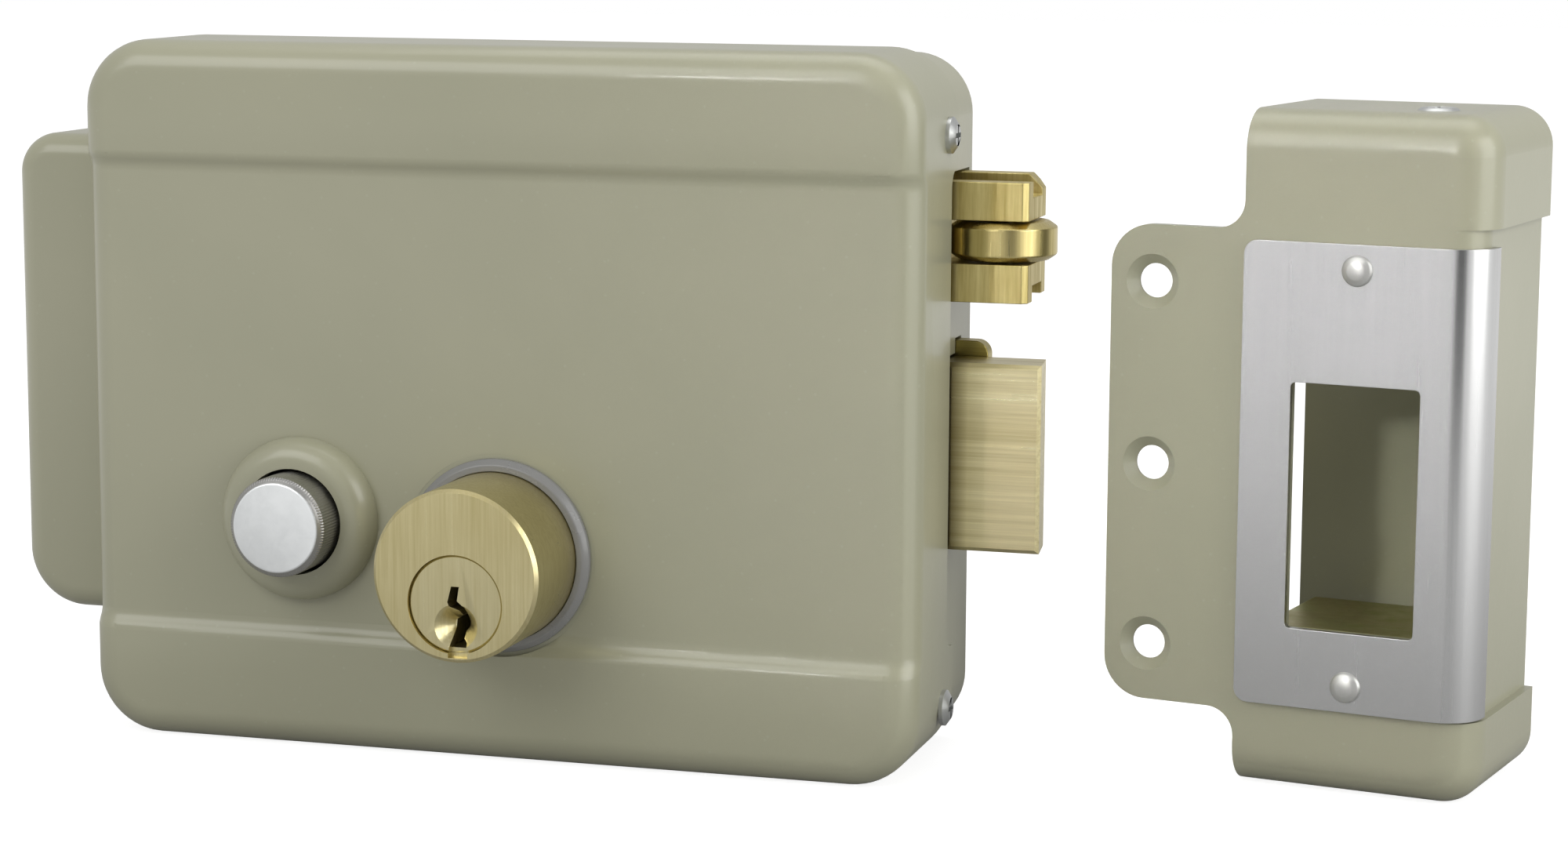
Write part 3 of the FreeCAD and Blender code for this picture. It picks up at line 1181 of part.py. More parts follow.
def solenoid_parts():
    """Solenoid frame, coil on its bobbin, plunger with its pull pin and return spring."""
    z, y = coil_middle, -coil_forward
    frame = new_body("solenoid_frame")
    low, high = z - frame_half, z + frame_half
    rear, front = coil_forward - frame_half, coil_forward + frame_half
    for x in (-coil_left, -coil_right - frame_sheet):
        pad(Outline(frame, "YZ_Plane", x).rectangle(-front, -back_sheet, low, high), frame_sheet)
    pad(Outline(frame, "XZ_Plane", rear - frame_sheet).rectangle(-coil_left, -coil_right, low, high),
        frame_sheet)
    way = Outline(frame, "YZ_Plane", -coil_right + 1)
    way.circle(y, z, plunger_radius + hinge_gap)
    pocket(way, frame_sheet * 2)
    inner_left, inner_right = -coil_left + frame_sheet, -coil_right - frame_sheet
    flange = 1.2
    bobbin_bore = plunger_radius + slide_gap
    bobbin = turned("coil_bobbin", [
        (bobbin_bore, 0), (coil_radius, 0), (coil_radius, flange), (bobbin_bore + 1, flange),
        (bobbin_bore + 1, inner_right - inner_left - flange), (coil_radius,
        inner_right - inner_left - flange),
        (coil_radius, inner_right - inner_left), (bobbin_bore, inner_right - inner_left)],
        x=inner_left, y=y, z=z, **SIDEWAYS)
    coil_length = inner_right - inner_left - flange * 2
    winding = turned("coil_winding", [
        (bobbin_bore + 1, 0), (coil_radius - 0.6, 0), (coil_radius - 0.6, coil_length),
        (bobbin_bore + 1, coil_length)],
        x=inner_left + flange, y=y, z=z, **SIDEWAYS)
    wound = coil_radius - 0.6 + hinge_gap
    turned("coil_tape", [
        (wound, coil_length * 0.3), (wound + tape_sheet, coil_length * 0.3),
        (wound + tape_sheet, coil_length * 0.75),
        (wound, coil_length * 0.75)], x=inner_left + flange, y=y, z=z, **SIDEWAYS)
    right = -plunger_reach
    left = inner_left + plunger_travel + 2
    plunger = new_body("plunger")
    pad(Outline(plunger, "YZ_Plane", left).circle(y, z, plunger_radius), right - left)
    pin_x = -rocker_x + rocker_arm / 2 + pull_gap + plunger_pin
    pull_pin = Outline(plunger, "XY_Plane", z - plunger_radius - plunger_pin_length)
    pull_pin.circle(pin_x, y, plunger_pin)
    pad(pull_pin, plunger_pin_length + plunger_radius)
    return frame, bobbin, winding, plunger


def terminal_parts():
    """Terminal block with two clamp screws."""
    block = new_body("terminal_block")
    left, low = -terminal_left, terminal_bottom
    pad(Outline(block, "XZ_Plane", back_sheet).rectangle(left, left + terminal_width, low,
        low + terminal_height),
        terminal_depth)
    wells = Outline(block, "XZ_Plane", back_sheet + terminal_depth)
    spots = [(left + terminal_width / 2, low + terminal_height * share) for share in (0.27, 0.73)]
    for x, z in spots:
        wells.circle(x, z, terminal_screw + 0.3)
    pocket(wells, terminal_depth * 0.6)
    ways = Outline(block, "YZ_Plane", left + terminal_width)
    for x, z in spots:
        ways.circle(-back_sheet - terminal_depth * 0.3, z, terminal_screw * 0.7)
    pocket(ways, terminal_width * 0.7)
    screws = []
    for x, z in spots:
        floor = back_sheet + terminal_depth * 0.4
        screws.append(turned("terminal_screw", [
            (0, floor), (terminal_screw, floor), (terminal_screw, floor + 3.4), (0, floor + 3.4)], x=x, z=z,
            **FORWARD))
        cross_recess(screws[-1], terminal_screw, floor + 3.4)
    group("terminal_screws", screws)
    foot = (coil_middle - coil_radius).value - 0.2
    across, back = -coil_forward.value, -back_sheet.value - terminal_depth.value * 0.3
    face = (left + terminal_width).value
    leads = []
    for number, (x, z) in enumerate(spots):
        outward = lead_room.value + 2.2 * (1 - number)
        level = as_size(z).value
        leads.append(lead("coil_lead", [
            V(face - 2 + outward / 2, across, foot), V(face + outward / 2, across + 3, foot - 4.5),
            V(face + outward, (across + back) / 2, foot - 9), V(face + outward, back - 1, level + 5),
            V(face + outward * 0.6, back, level + 0.9), V(face + 0.5, back, level),
            V(face - 2.5, back, level)]))
    group("coil_leads", leads)
    return block


def keeper_where():
    """Return the keeper's placement values."""
    return dict(x=keeper_x, y=-keeper_forward, z=-case_below, axis=V(0, 0, 1), angle=-keeper_turn)


def keeper_shell():
    """Painted keeper box: open on its left, raised caps at both ends and a drilled flange."""
    body = new_body("keeper_shell", **keeper_where())
    step = keeper_cap_step
    waist = Outline(body, "XY_Plane")
    wide, deep = keeper_wide - step, keeper_deep
    waist.path([(0, step), (wide - keeper_body_round, step), (wide, step + keeper_body_round),
                (wide, deep), (0, deep)],
               {1: ((wide - keeper_body_round, step + keeper_body_round), True)})
    pad(waist, keeper_high)
    for low, height in ((0, keeper_cap_bottom), (keeper_high - keeper_cap_top, keeper_cap_top)):
        cap = Outline(body, "XY_Plane", low)
        corner = keeper_wide - keeper_side_round
        cap.path([(0, step), (corner, step), (keeper_wide, step + keeper_side_round),
                  (keeper_wide, deep), (0, deep)],
                 {1: ((corner, step + keeper_side_round), True)})
        pad(cap, height)
    ends = (0, keeper_high.value)

    def outer_end(edge):
        box = edge.BoundBox
        flat = abs(box.ZMin - box.ZMax) < 1e-3 and min(abs(box.ZMin - level) for level in ends) < 1e-3
        front = box.XMax > 1 and box.YMax < deep.value - 0.01
        right = box.XMin > 1 and box.XLength < 0.1
        return flat and (front or right)
    dress("Fillet", body, keeper_end_round, outer_end)
    thick = keeper_sheet
    hollow = Outline(body, "XY_Plane", keeper_end_wall)
    bend = keeper_body_round - thick
    hollow.path([(-1, step + thick), (wide - thick - bend, step + thick),
                 (wide - thick, step + thick + bend),
                 (wide - thick, deep - thick), (-1, deep - thick)],
                {1: ((wide - thick - bend, step + thick + bend), True)})
    pocket(hollow, keeper_high - 2 * keeper_end_wall, onward=True)
    flange = Outline(body, "XZ_Plane", -step - thick)
    round_, blend = flange_corner, flange_fillet
    flange.path([(-flange_wide + round_, flange_low), (-blend, flange_low), (0, flange_low - blend),
                 (thick, flange_low - blend), (thick, flange_high + blend), (0, flange_high + blend),
                 (-blend, flange_high), (-flange_wide + round_, flange_high),
                 (-flange_wide, flange_high - round_),
                 (-flange_wide, flange_low + round_)],
                {1: ((-blend, flange_low - blend), False), 5: ((-blend, flange_high + blend), False),
                 7: ((-flange_wide + round_, flange_high - round_), True),
                 9: ((-flange_wide + round_, flange_low + round_), True)})
    pad(flange, thick)
    holes = Outline(body, "XZ_Plane", -step)
    middle = (flange_low + flange_high) / 2
    for level in (-1, 0, 1):
        holes.circle(-flange_wide + flange_hole_inset, middle + level * flange_hole_pitch, flange_hole)
    pocket(holes, thick)
    dress("Chamfer", body, flange_sink - flange_hole, lambda edge: on_plane("Y", step)(edge)
          and abs(edge.BoundBox.XLength - 2 * flange_hole.value) < 0.01
          and abs(edge.BoundBox.ZLength - 2 * flange_hole.value) < 0.01)
    window = Outline(body, "XZ_Plane", -step + 1)
    window.rectangle(window_left - 0.3, window_right + 0.3, window_low - 0.3, window_high + 0.3)
    for level in (plate_low + rivet_inset, plate_high - rivet_inset):
        window.circle(rivet_x, level, rivet_shank)
    pocket(window, thick + 2)
    screw_ways = Outline(body, "XY_Plane", -1)
    screw_ways.circle(keeper_screw_x, keeper_screw_back, keeper_screw_shank)
    pocket(screw_ways, keeper_high + 2, onward=True)
    return body


def keeper_inside():
    """Wear plate, zinc bracket, rivets and screws of the keeper."""
    step, thick = keeper_cap_step, keeper_sheet
    side = keeper_wide - step
    plate = new_body("keeper_wear_plate", **keeper_where())
    outer = keeper_body_round + plate_sheet
    profile = Outline(plate, "XY_Plane", plate_low)
    profile.path([(0.3, step - plate_sheet), (side - keeper_body_round, step - plate_sheet),
                  (side + plate_sheet, step + keeper_body_round), (side + plate_sheet, step + plate_return),
                  (side, step + plate_return), (side, step + keeper_body_round),
                  (side - keeper_body_round, step), (0.3, step)],
                 {1: ((side - keeper_body_round, step + keeper_body_round), True),
                  5: ((side - keeper_body_round, step + keeper_body_round), False)})
    pad(profile, plate_high - plate_low)
    window = Outline(plate, "XZ_Plane", -step + plate_sheet + 1)
    window.rounded(window_left, window_right, window_low, window_high, 0.8)
    for level in (plate_low + rivet_inset, plate_high - rivet_inset):
        window.circle(rivet_x, level, rivet_shank)
    pocket(window, plate_sheet + 2)
    dress("Fillet", plate, plate_corner, lambda edge: runs_along(edge, "Y")
          and abs(edge.BoundBox.XMin - 0.3) < 1e-3)
    bracket = new_body("keeper_bracket", **keeper_where())
    face = step + thick + inner_gap
    sheet_, left = inner_sheet, keeper_screw_x - inner_wide + 5.5
    right = left + inner_wide
    low, high = keeper_end_wall + inner_gap, keeper_high - keeper_end_wall - inner_gap
    pad(Outline(bracket, "XZ_Plane", -face - sheet_).rectangle(left, right, low, high), sheet_)
    window = Outline(bracket, "XZ_Plane", -face + 1)
    window.rectangle(window_left - 1, window_right + 1, window_low - 0.3, window_high + 1)
    for level in (plate_low + rivet_inset, plate_high - rivet_inset):
        window.circle(rivet_x, level, rivet_shank)
    pocket(window, sheet_ + 2)
    for level in (low, high - sheet_, window_low - 0.3 - sheet_):
        pad(Outline(bracket, "XY_Plane", level).rectangle(left, right, face, face + inner_reach), sheet_)
    tapped = Outline(bracket, "XY_Plane", low - 1)
    tapped.circle(keeper_screw_x, keeper_screw_back, keeper_screw_shank)
    pocket(tapped, sheet_ + 2, onward=True)
    tapped = Outline(bracket, "XY_Plane", high - sheet_ - 1)
    tapped.circle(keeper_screw_x, keeper_screw_back, keeper_screw_shank)
    pocket(tapped, sheet_ + 2, onward=True)
    rivets = []
    outside = plate_sheet - step
    for level in (plate_low + rivet_inset, plate_high - rivet_inset):
        end = -face - sheet_
        rivet = turned("keeper_rivet", [
            (0, end), (rivet_shank, end), (rivet_shank, outside), (rivet_head, outside),
            (rivet_head * 0.9, outside + rivet_height * 0.5), (rivet_head * 0.5, outside + rivet_height),
            (0, outside + rivet_height)])
        rivet.Placement = keeper_placement(rivet_x, 0, level, FreeCAD.Rotation(V(1, 0, 0), 90))
        rivets.append(rivet)
    group("keeper_rivets", rivets)
    screws = []
    for level, flip in ((0, 180), (keeper_high, 0)):
        grip = keeper_end_wall + inner_gap + inner_sheet + 2
        screw = turned("keeper_screw", [
            (0, -grip), (keeper_screw_shank, -grip), (keeper_screw_shank, 0), (keeper_screw_head, 0),
            (keeper_screw_head * 0.8, 0.4), (0, 0.4)])
        cross_recess(screw, keeper_screw_head, 0.4)
        screw.Placement = keeper_placement(keeper_screw_x, keeper_screw_back, level,
                                           FreeCAD.Rotation(V(1, 0, 0), flip))
        screws.append(screw)
    group("keeper_screws", screws)
    return plate, bracket


def keeper_placement(across, back, up, own_turn):
    """Place a piece by its position in the keeper's own frame."""
    base = FreeCAD.Placement(V(keeper_x.value, -keeper_forward.value, -case_below.value),
                             FreeCAD.Rotation(V(0, 0, 1), -keeper_turn.value))
    own = FreeCAD.Placement(V(as_size(across).value, as_size(back).value, as_size(up).value), own_turn)
    return base * own


rear_housing()
front_cover()
cover_screws()
side_extension()
cylinder_parts()
deadbolt_parts()
latch_parts()
latch_fixings()
trigger_parts()
button_parts()
rocker_parts()
solenoid_parts()
terminal_parts()
keeper_shell()
keeper_inside()

NODES = [
    "rear_housing", "front_cover", "cover_screws", "side_extension", "cylinder_body", "cylinder_collar",
    "cylinder_plug", "key_pins", "cylinder_pins", "pin_springs", "cylinder_carrier", "cylinder_screws",
    "plug_pinion", "plug_clip", "deadbolt", "bolt_tail",
    "bolt_rivets", "latch_fork", "latch_roller", "roller_pin", "latch_pull", "pull_rivets", "latch_spring",
    "latch_strap", "spring_seat", "trigger_tongue", "trigger_spring", "trigger_spring_seat", "guide_studs",
    "push_button", "button_guide", "button_clip", "button_spring", "rocker", "rocker_bracket",
    "solenoid_frame",
    "coil_bobbin", "coil_winding", "coil_tape", "coil_leads", "plunger", "terminal_block",
    "terminal_screws", "keeper_shell",
    "keeper_wear_plate", "keeper_bracket", "keeper_rivets", "keeper_screws"]

doc.recompute()
for thing in doc.Objects:
    if "Invalid" in thing.State or "Error" in thing.State:
        raise ValueError("failed object: %s %s" % (thing.Label, thing.State))

for node in NODES:
    found = [thing for thing in doc.Objects if thing.Label == node]
    shape = found[0].Shape
    if shape.isNull() or not shape.isValid():
        raise ValueError("bad shape: " + node)
    shape.exportStep("parts/%s.step" % node)
    print(node, round(shape.Volume, 1), len(shape.Solids))
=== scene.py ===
"""Dressed model of a surface-mounted electromechanical lock and its keeper, in metres."""

import json
import logging
import math
from dataclasses import dataclass, field
from enum import Enum
from typing import Optional, Union

import bmesh
import bpy
from mathutils import Matrix, Vector

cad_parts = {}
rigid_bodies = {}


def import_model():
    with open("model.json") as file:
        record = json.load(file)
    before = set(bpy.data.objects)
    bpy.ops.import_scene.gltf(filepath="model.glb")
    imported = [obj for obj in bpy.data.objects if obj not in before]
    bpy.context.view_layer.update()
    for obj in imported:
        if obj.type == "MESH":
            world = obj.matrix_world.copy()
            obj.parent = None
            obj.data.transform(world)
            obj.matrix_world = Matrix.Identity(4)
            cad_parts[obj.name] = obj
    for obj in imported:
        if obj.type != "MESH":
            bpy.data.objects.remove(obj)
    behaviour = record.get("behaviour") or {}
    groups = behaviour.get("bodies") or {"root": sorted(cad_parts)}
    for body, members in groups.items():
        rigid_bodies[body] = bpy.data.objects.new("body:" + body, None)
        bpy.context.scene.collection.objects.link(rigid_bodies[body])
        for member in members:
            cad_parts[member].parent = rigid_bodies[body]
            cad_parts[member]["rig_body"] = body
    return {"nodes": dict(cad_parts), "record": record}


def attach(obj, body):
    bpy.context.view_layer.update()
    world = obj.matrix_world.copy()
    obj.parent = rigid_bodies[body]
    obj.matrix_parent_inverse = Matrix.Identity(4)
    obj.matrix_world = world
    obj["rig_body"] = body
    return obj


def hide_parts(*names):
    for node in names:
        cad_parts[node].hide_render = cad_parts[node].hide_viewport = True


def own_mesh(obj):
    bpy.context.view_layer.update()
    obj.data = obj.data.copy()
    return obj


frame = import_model()

LOG = logging.getLogger("lock")
MM = 0.001
Color = tuple[float, float, float]
Point = tuple[float, float, float]
NodeValue = Union[bpy.types.NodeSocket, float, Point]
ALONG_X: Point = (1.0, 0.0, 0.0)
ALONG_Y: Point = (0.0, 1.0, 0.0)


class Grain(Enum):
    """Direction in which a surface was brushed, drawn or sawn.

    Each value gives how dense the pattern is along X, Y and Z.
    """

    UPRIGHT = (2600.0, 2600.0, 60.0)
    LEVEL = (30.0, 2000.0, 2000.0)
    ROUND = (500.0, 60.0, 500.0)
    SAWN = (1200.0, 1200.0, 60.0)
    CLOUDY = (260.0, 260.0, 260.0)


class Socket(Enum):
    """Kinds of socket on a shared effect."""

    VALUE = "NodeSocketFloat"
    VECTOR = "NodeSocketVector"


def opaque(color: Color) -> tuple[float, float, float, float]:
    """Return a colour with full cover."""
    return (*color, 1.0)


def put(name: str, data: bpy.types.ID) -> bpy.types.Object:
    """Add an object to the scene.

    Args:
        name: Its name.
        data: Its mesh, lamp or camera.

    Returns:
        The new object.
    """
    made = bpy.data.objects.new(name, data)
    bpy.context.scene.collection.objects.link(made)
    return made


class Wiring:
    """A shader node tree while it is being wired."""

    def __init__(self, tree: bpy.types.NodeTree) -> None:
        """Take hold of a tree.

        Args:
            tree: The node tree.
        """
        self.tree = tree
        self.nodes = tree.nodes

    def node(self, kind: str, **settings: object) -> bpy.types.Node:
        """Add a node and set its own settings.

        Args:
            kind: The node's type name without its prefix.
            settings: Properties to set on it.

        Returns:
            The new node.
        """
        made = self.nodes.new("ShaderNode" + kind)
        for label, value in settings.items():
            setattr(made, label, value)
        return made

    def link(self, source: bpy.types.NodeSocket, target: bpy.types.NodeSocket) -> None:
        """Join two sockets."""
        self.tree.links.new(source, target)

    def fill(self, node: bpy.types.Node, values: dict[str, object]) -> bpy.types.Node:
        """Set a node's inputs by name and return the node."""
        for label, value in values.items():
            node.inputs[label].default_value = value
        return node

    def combine(self, kind: str, operation: str, *values: NodeValue) -> bpy.types.Node:
        """Add a calculation.

        Args:
            kind: Math or VectorMath.
            operation: What it does.
            values: Its inputs in order, each a socket or a value.

        Returns:
            The new node.
        """
        made = self.node(kind, operation=operation)
        for target, value in zip(made.inputs, values):
            if isinstance(value, bpy.types.NodeSocket):
                self.link(value, target)
            else:
                target.default_value = value
        return made

    def remap(self, source: bpy.types.NodeSocket, **limits: float) -> bpy.types.NodeSocket:
        """Stretch a value's range, and hold it between the new limits.

        Args:
            source: The value.
            limits: from_min, from_max, to_min and to_max. They are 0 and 1 where not given.

        Returns:
            The stretched value's socket.
        """
        stretch = self.node("MapRange", clamp=True)
        self.fill(stretch, {key.replace("_", " ").title(): limit for key, limit in limits.items()})
        self.link(source, stretch.inputs["Value"])
        return stretch.outputs["Result"]


class Effect(Wiring):
    """A shader node group that several finishes share."""

    def __init__(self, name: str, inputs: dict[str, Socket], outputs: dict[str, Socket]) -> None:
        """Make the empty group with its sockets.

        Args:
            name: The group's name.
            inputs: Socket names and kinds going in.
            outputs: Socket names and kinds coming out.
        """
        super().__init__(bpy.data.node_groups.new(name, "ShaderNodeTree"))
        for side, sockets in (("INPUT", inputs), ("OUTPUT", outputs)):
            for label, kind in sockets.items():
                self.tree.interface.new_socket(name=label, in_out=side, socket_type=kind.value)
        self.entry = self.nodes.new("NodeGroupInput")
        self.exit = self.nodes.new("NodeGroupOutput")

    def spread(self, source: bpy.types.NodeSocket, limits: tuple[float, float]) -> bpy.types.NodeSocket:
        """Stretch a value's middle range to 0 to 1.

        Args:
            source: The value.
            limits: What becomes 0 and what becomes 1.

        Returns:
            The stretched value's socket.
        """
        return self.remap(source, from_min=limits[0], from_max=limits[1])


class GrainEffect(Effect):
    """Long fine scratches with a fainter, broader banding under them."""

    FINE = {"Scale": 1.0, "Detail": 4.0, "Roughness": 0.65}
    BROAD = {"Scale": 0.22, "Detail": 2.0}
    FINE_SHARE = 0.72
    BROAD_SHARE = 0.28
    MIDDLE = (0.32, 0.68)

    def __init__(self) -> None:
        """Build the group."""
        super().__init__("fine grain", {"Vector": Socket.VECTOR, "Stretch": Socket.VECTOR},
                         {"Tone": Socket.VALUE, "Height": Socket.VALUE})
        scaled = self.combine("VectorMath", "MULTIPLY", self.entry.outputs["Vector"],
                              self.entry.outputs["Stretch"]).outputs["Vector"]
        fine, broad = (self.fill(self.node("TexNoise"), values) for values in (self.FINE, self.BROAD))
        for noise in (fine, broad):
            self.link(scaled, noise.inputs["Vector"])
        part = self.combine("Math", "MULTIPLY", fine.outputs["Fac"], self.FINE_SHARE).outputs["Value"]
        blend = self.combine("Math", "MULTIPLY_ADD", broad.outputs["Fac"], self.BROAD_SHARE, part)
        self.link(self.spread(blend.outputs["Value"], self.MIDDLE), self.exit.inputs["Tone"])
        self.link(fine.outputs["Fac"], self.exit.inputs["Height"])


class CloudEffect(Effect):
    """Soft patches, for stains, plating clouds and uneven paint."""

    CLOUD = {"Detail": 5.0, "Roughness": 0.55, "Distortion": 0.3}
    MIDDLE = (0.35, 0.68)

    def __init__(self) -> None:
        """Build the group."""
        super().__init__("soft clouds", {"Vector": Socket.VECTOR, "Scale": Socket.VALUE},
                         {"Mask": Socket.VALUE})
        cloud = self.fill(self.node("TexNoise"), self.CLOUD)
        for label in ("Vector", "Scale"):
            self.link(self.entry.outputs[label], cloud.inputs[label])
        self.link(self.spread(cloud.outputs["Fac"], self.MIDDLE), self.exit.inputs["Mask"])


class PeelEffect(Effect):
    """The fine ripple of sprayed enamel, with a few specks in it."""

    RIPPLE = {"Detail": 1.5}
    SPECKS = {"Scale": 420.0}
    SPECK_EDGE = (0.12, 0.03)

    def __init__(self) -> None:
        """Build the group."""
        super().__init__("enamel ripple", {"Vector": Socket.VECTOR, "Scale": Socket.VALUE},
                         {"Height": Socket.VALUE, "Speck": Socket.VALUE})
        ripple = self.fill(self.node("TexNoise"), self.RIPPLE)
        for label in ("Vector", "Scale"):
            self.link(self.entry.outputs[label], ripple.inputs[label])
        self.link(ripple.outputs["Fac"], self.exit.inputs["Height"])
        dots = self.fill(self.node("TexVoronoi", feature="F1"), self.SPECKS)
        self.link(self.entry.outputs["Vector"], dots.inputs["Vector"])
        self.link(self.spread(dots.outputs["Distance"], self.SPECK_EDGE), self.exit.inputs["Speck"])


class KnurlEffect(Effect):
    """Fine ribs round an axis that points along Y."""

    WAVE = (-1.0, 1.0)

    def __init__(self) -> None:
        """Build the group."""
        super().__init__("fine knurl", {"Vector": Socket.VECTOR, "Centre": Socket.VECTOR,
                                        "Ribs": Socket.VALUE}, {"Height": Socket.VALUE})
        centred = self.combine("VectorMath", "SUBTRACT", self.entry.outputs["Vector"],
                               self.entry.outputs["Centre"])
        split = self.node("SeparateXYZ")
        self.link(centred.outputs["Vector"], split.inputs["Vector"])
        angle = self.combine("Math", "ARCTAN2", split.outputs["Z"], split.outputs["X"])
        turns = self.combine("Math", "MULTIPLY", angle.outputs["Value"], self.entry.outputs["Ribs"])
        wave = self.combine("Math", "SINE", turns.outputs["Value"])
        self.link(self.spread(wave.outputs["Value"], self.WAVE), self.exit.inputs["Height"])


@dataclass
class Workshop:
    """The shared effects, and the materials made so far."""

    grain: Optional[GrainEffect] = None
    cloud: Optional[CloudEffect] = None
    peel: Optional[PeelEffect] = None
    knurl: Optional[KnurlEffect] = None
    made: dict[str, bpy.types.Material] = field(default_factory=dict)

    def open(self) -> None:
        """Build the shared effects."""
        self.grain = GrainEffect()
        self.cloud = CloudEffect()
        self.peel = PeelEffect()
        self.knurl = KnurlEffect()


SHOP = Workshop()


class Coat(Wiring):
    """One material being wired: its shader and the object's coordinates."""

    def __init__(self, name: str) -> None:
        """Start an empty material.

        Args:
            name: The material's name.
        """
        self.material = bpy.data.materials.new(name)
        self.material.use_nodes = True
        super().__init__(self.material.node_tree)
        self.shader = self.nodes["Principled BSDF"]
        self.place = self.node("TexCoord").outputs["Object"]

    def effect(self, shared: Effect, **values: object) -> bpy.types.Node:
        """Place a shared effect on the object's coordinates.

        Args:
            shared: The effect.
            values: Its inputs by name.

        Returns:
            The group node.
        """
        made = self.fill(self.node("Group", node_tree=shared.tree), values)
        self.link(self.place, made.inputs["Vector"])
        return made

    def mix(self, mask: bpy.types.NodeSocket, color: Color) -> bpy.types.Node:
        """Add a colour mix that shows a colour where a mask is 1."""
        made = self.node("Mix", data_type="RGBA")
        made.inputs["B"].default_value = opaque(color)
        self.link(mask, made.inputs["Factor"])
        return made

    def between(self, mask: bpy.types.NodeSocket, low: Color, high: Color) -> bpy.types.NodeSocket:
        """Mix two colours by a mask.

        Args:
            mask: 0 for the first colour, 1 for the second.
            low: The first colour.
            high: The second colour.

        Returns:
            The mixed colour's socket.
        """
        made = self.mix(mask, high)
        made.inputs["A"].default_value = opaque(low)
        return made.outputs["Result"]

    def over(self, mask: bpy.types.NodeSocket, under: bpy.types.NodeSocket, color: Color,
             strength: float) -> bpy.types.NodeSocket:
        """Lay a colour over another where a mask is high.

        Args:
            mask: Where the colour lies.
            under: The colour below.
            color: The colour laid over it.
            strength: How strongly it covers.

        Returns:
            The result's socket.
        """
        made = self.mix(self.combine("Math", "MULTIPLY", mask, strength).outputs["Value"], color)
        self.link(under, made.inputs["A"])
        return made.outputs["Result"]

    def along(self, axis: str, start: float, end: float) -> bpy.types.NodeSocket:
        """Run a mask along one axis of the piece.

        Args:
            axis: X, Y or Z.
            start: Where the mask is 0, in metres.
            end: Where it is 1.

        Returns:
            The mask's socket.
        """
        split = self.node("SeparateXYZ")
        self.link(self.place, split.inputs["Vector"])
        return self.remap(split.outputs[axis], from_min=start, from_max=end)

    def surface(self, color: bpy.types.NodeSocket, mask: bpy.types.NodeSocket, low: float,
                high: float) -> None:
        """Give the shader its colour, and its roughness by a mask.

        Args:
            color: The colour.
            mask: A value from 0 to 1.
            low: The roughness at 0.
            high: The roughness at 1.
        """
        self.link(color, self.shader.inputs["Base Color"])
        self.link(self.remap(mask, to_min=low, to_max=high), self.shader.inputs["Roughness"])

    def bump(self, height: bpy.types.NodeSocket, depth: float, strength: float) -> None:
        """Raise the surface by a height pattern.

        Args:
            height: The pattern.
            depth: Its height in metres.
            strength: How strongly it shows.
        """
        made = self.fill(self.node("Bump"), {"Distance": depth, "Strength": strength})
        self.link(height, made.inputs["Height"])
        self.link(made.outputs["Normal"], self.shader.inputs["Normal"])


@dataclass(frozen=True)
class Finish:
    """What every finish states.

    Attributes:
        name: The material's name.
        color: Its main colour.
        shade: Its second colour, mixed in by the pattern.
        smooth: Roughness where it is glossiest.
        rough: Roughness where it is dullest.
    """

    name: str
    color: Color
    shade: Color
    smooth: float
    rough: float

    def material(self) -> bpy.types.Material:
        """Build the material once and return it."""
        if self.name not in SHOP.made:
            coat = Coat(self.name)
            self.wire(coat)
            SHOP.made[self.name] = coat.material
        return SHOP.made[self.name]

    def wire(self, coat: Coat) -> None:
        """Wire the nodes. Each kind of finish does this in its own way."""
        raise NotImplementedError


@dataclass(frozen=True)
class Enamel(Finish):
    """Sprayed semi-gloss paint on sheet steel."""

    cloud_scale: float = 14.0
    speck: Color = (0.42, 0.42, 0.32)
    specked: float = 0.25
    lacquer: float = 0.3
    lacquer_rough: float = 0.14
    specular: float = 0.45
    ripple_scale: float = 900.0
    ripple: float = 0.06 * MM
    ripple_strength: float = 0.22

    def wire(self, coat: Coat) -> None:
        """Wire colour clouds, specks, ripple and gloss."""
        cloud = coat.effect(SHOP.cloud, Scale=self.cloud_scale)
        peel = coat.effect(SHOP.peel, Scale=self.ripple_scale)
        tint = coat.between(cloud.outputs["Mask"], self.color, self.shade)
        tint = coat.over(peel.outputs["Speck"], tint, self.speck, self.specked)
        coat.surface(tint, cloud.outputs["Mask"], self.smooth, self.rough)
        coat.fill(coat.shader, {"Coat Weight": self.lacquer, "Coat Roughness": self.lacquer_rough,
                                "Specular IOR Level": self.specular})
        coat.bump(peel.outputs["Height"], self.ripple, self.ripple_strength)


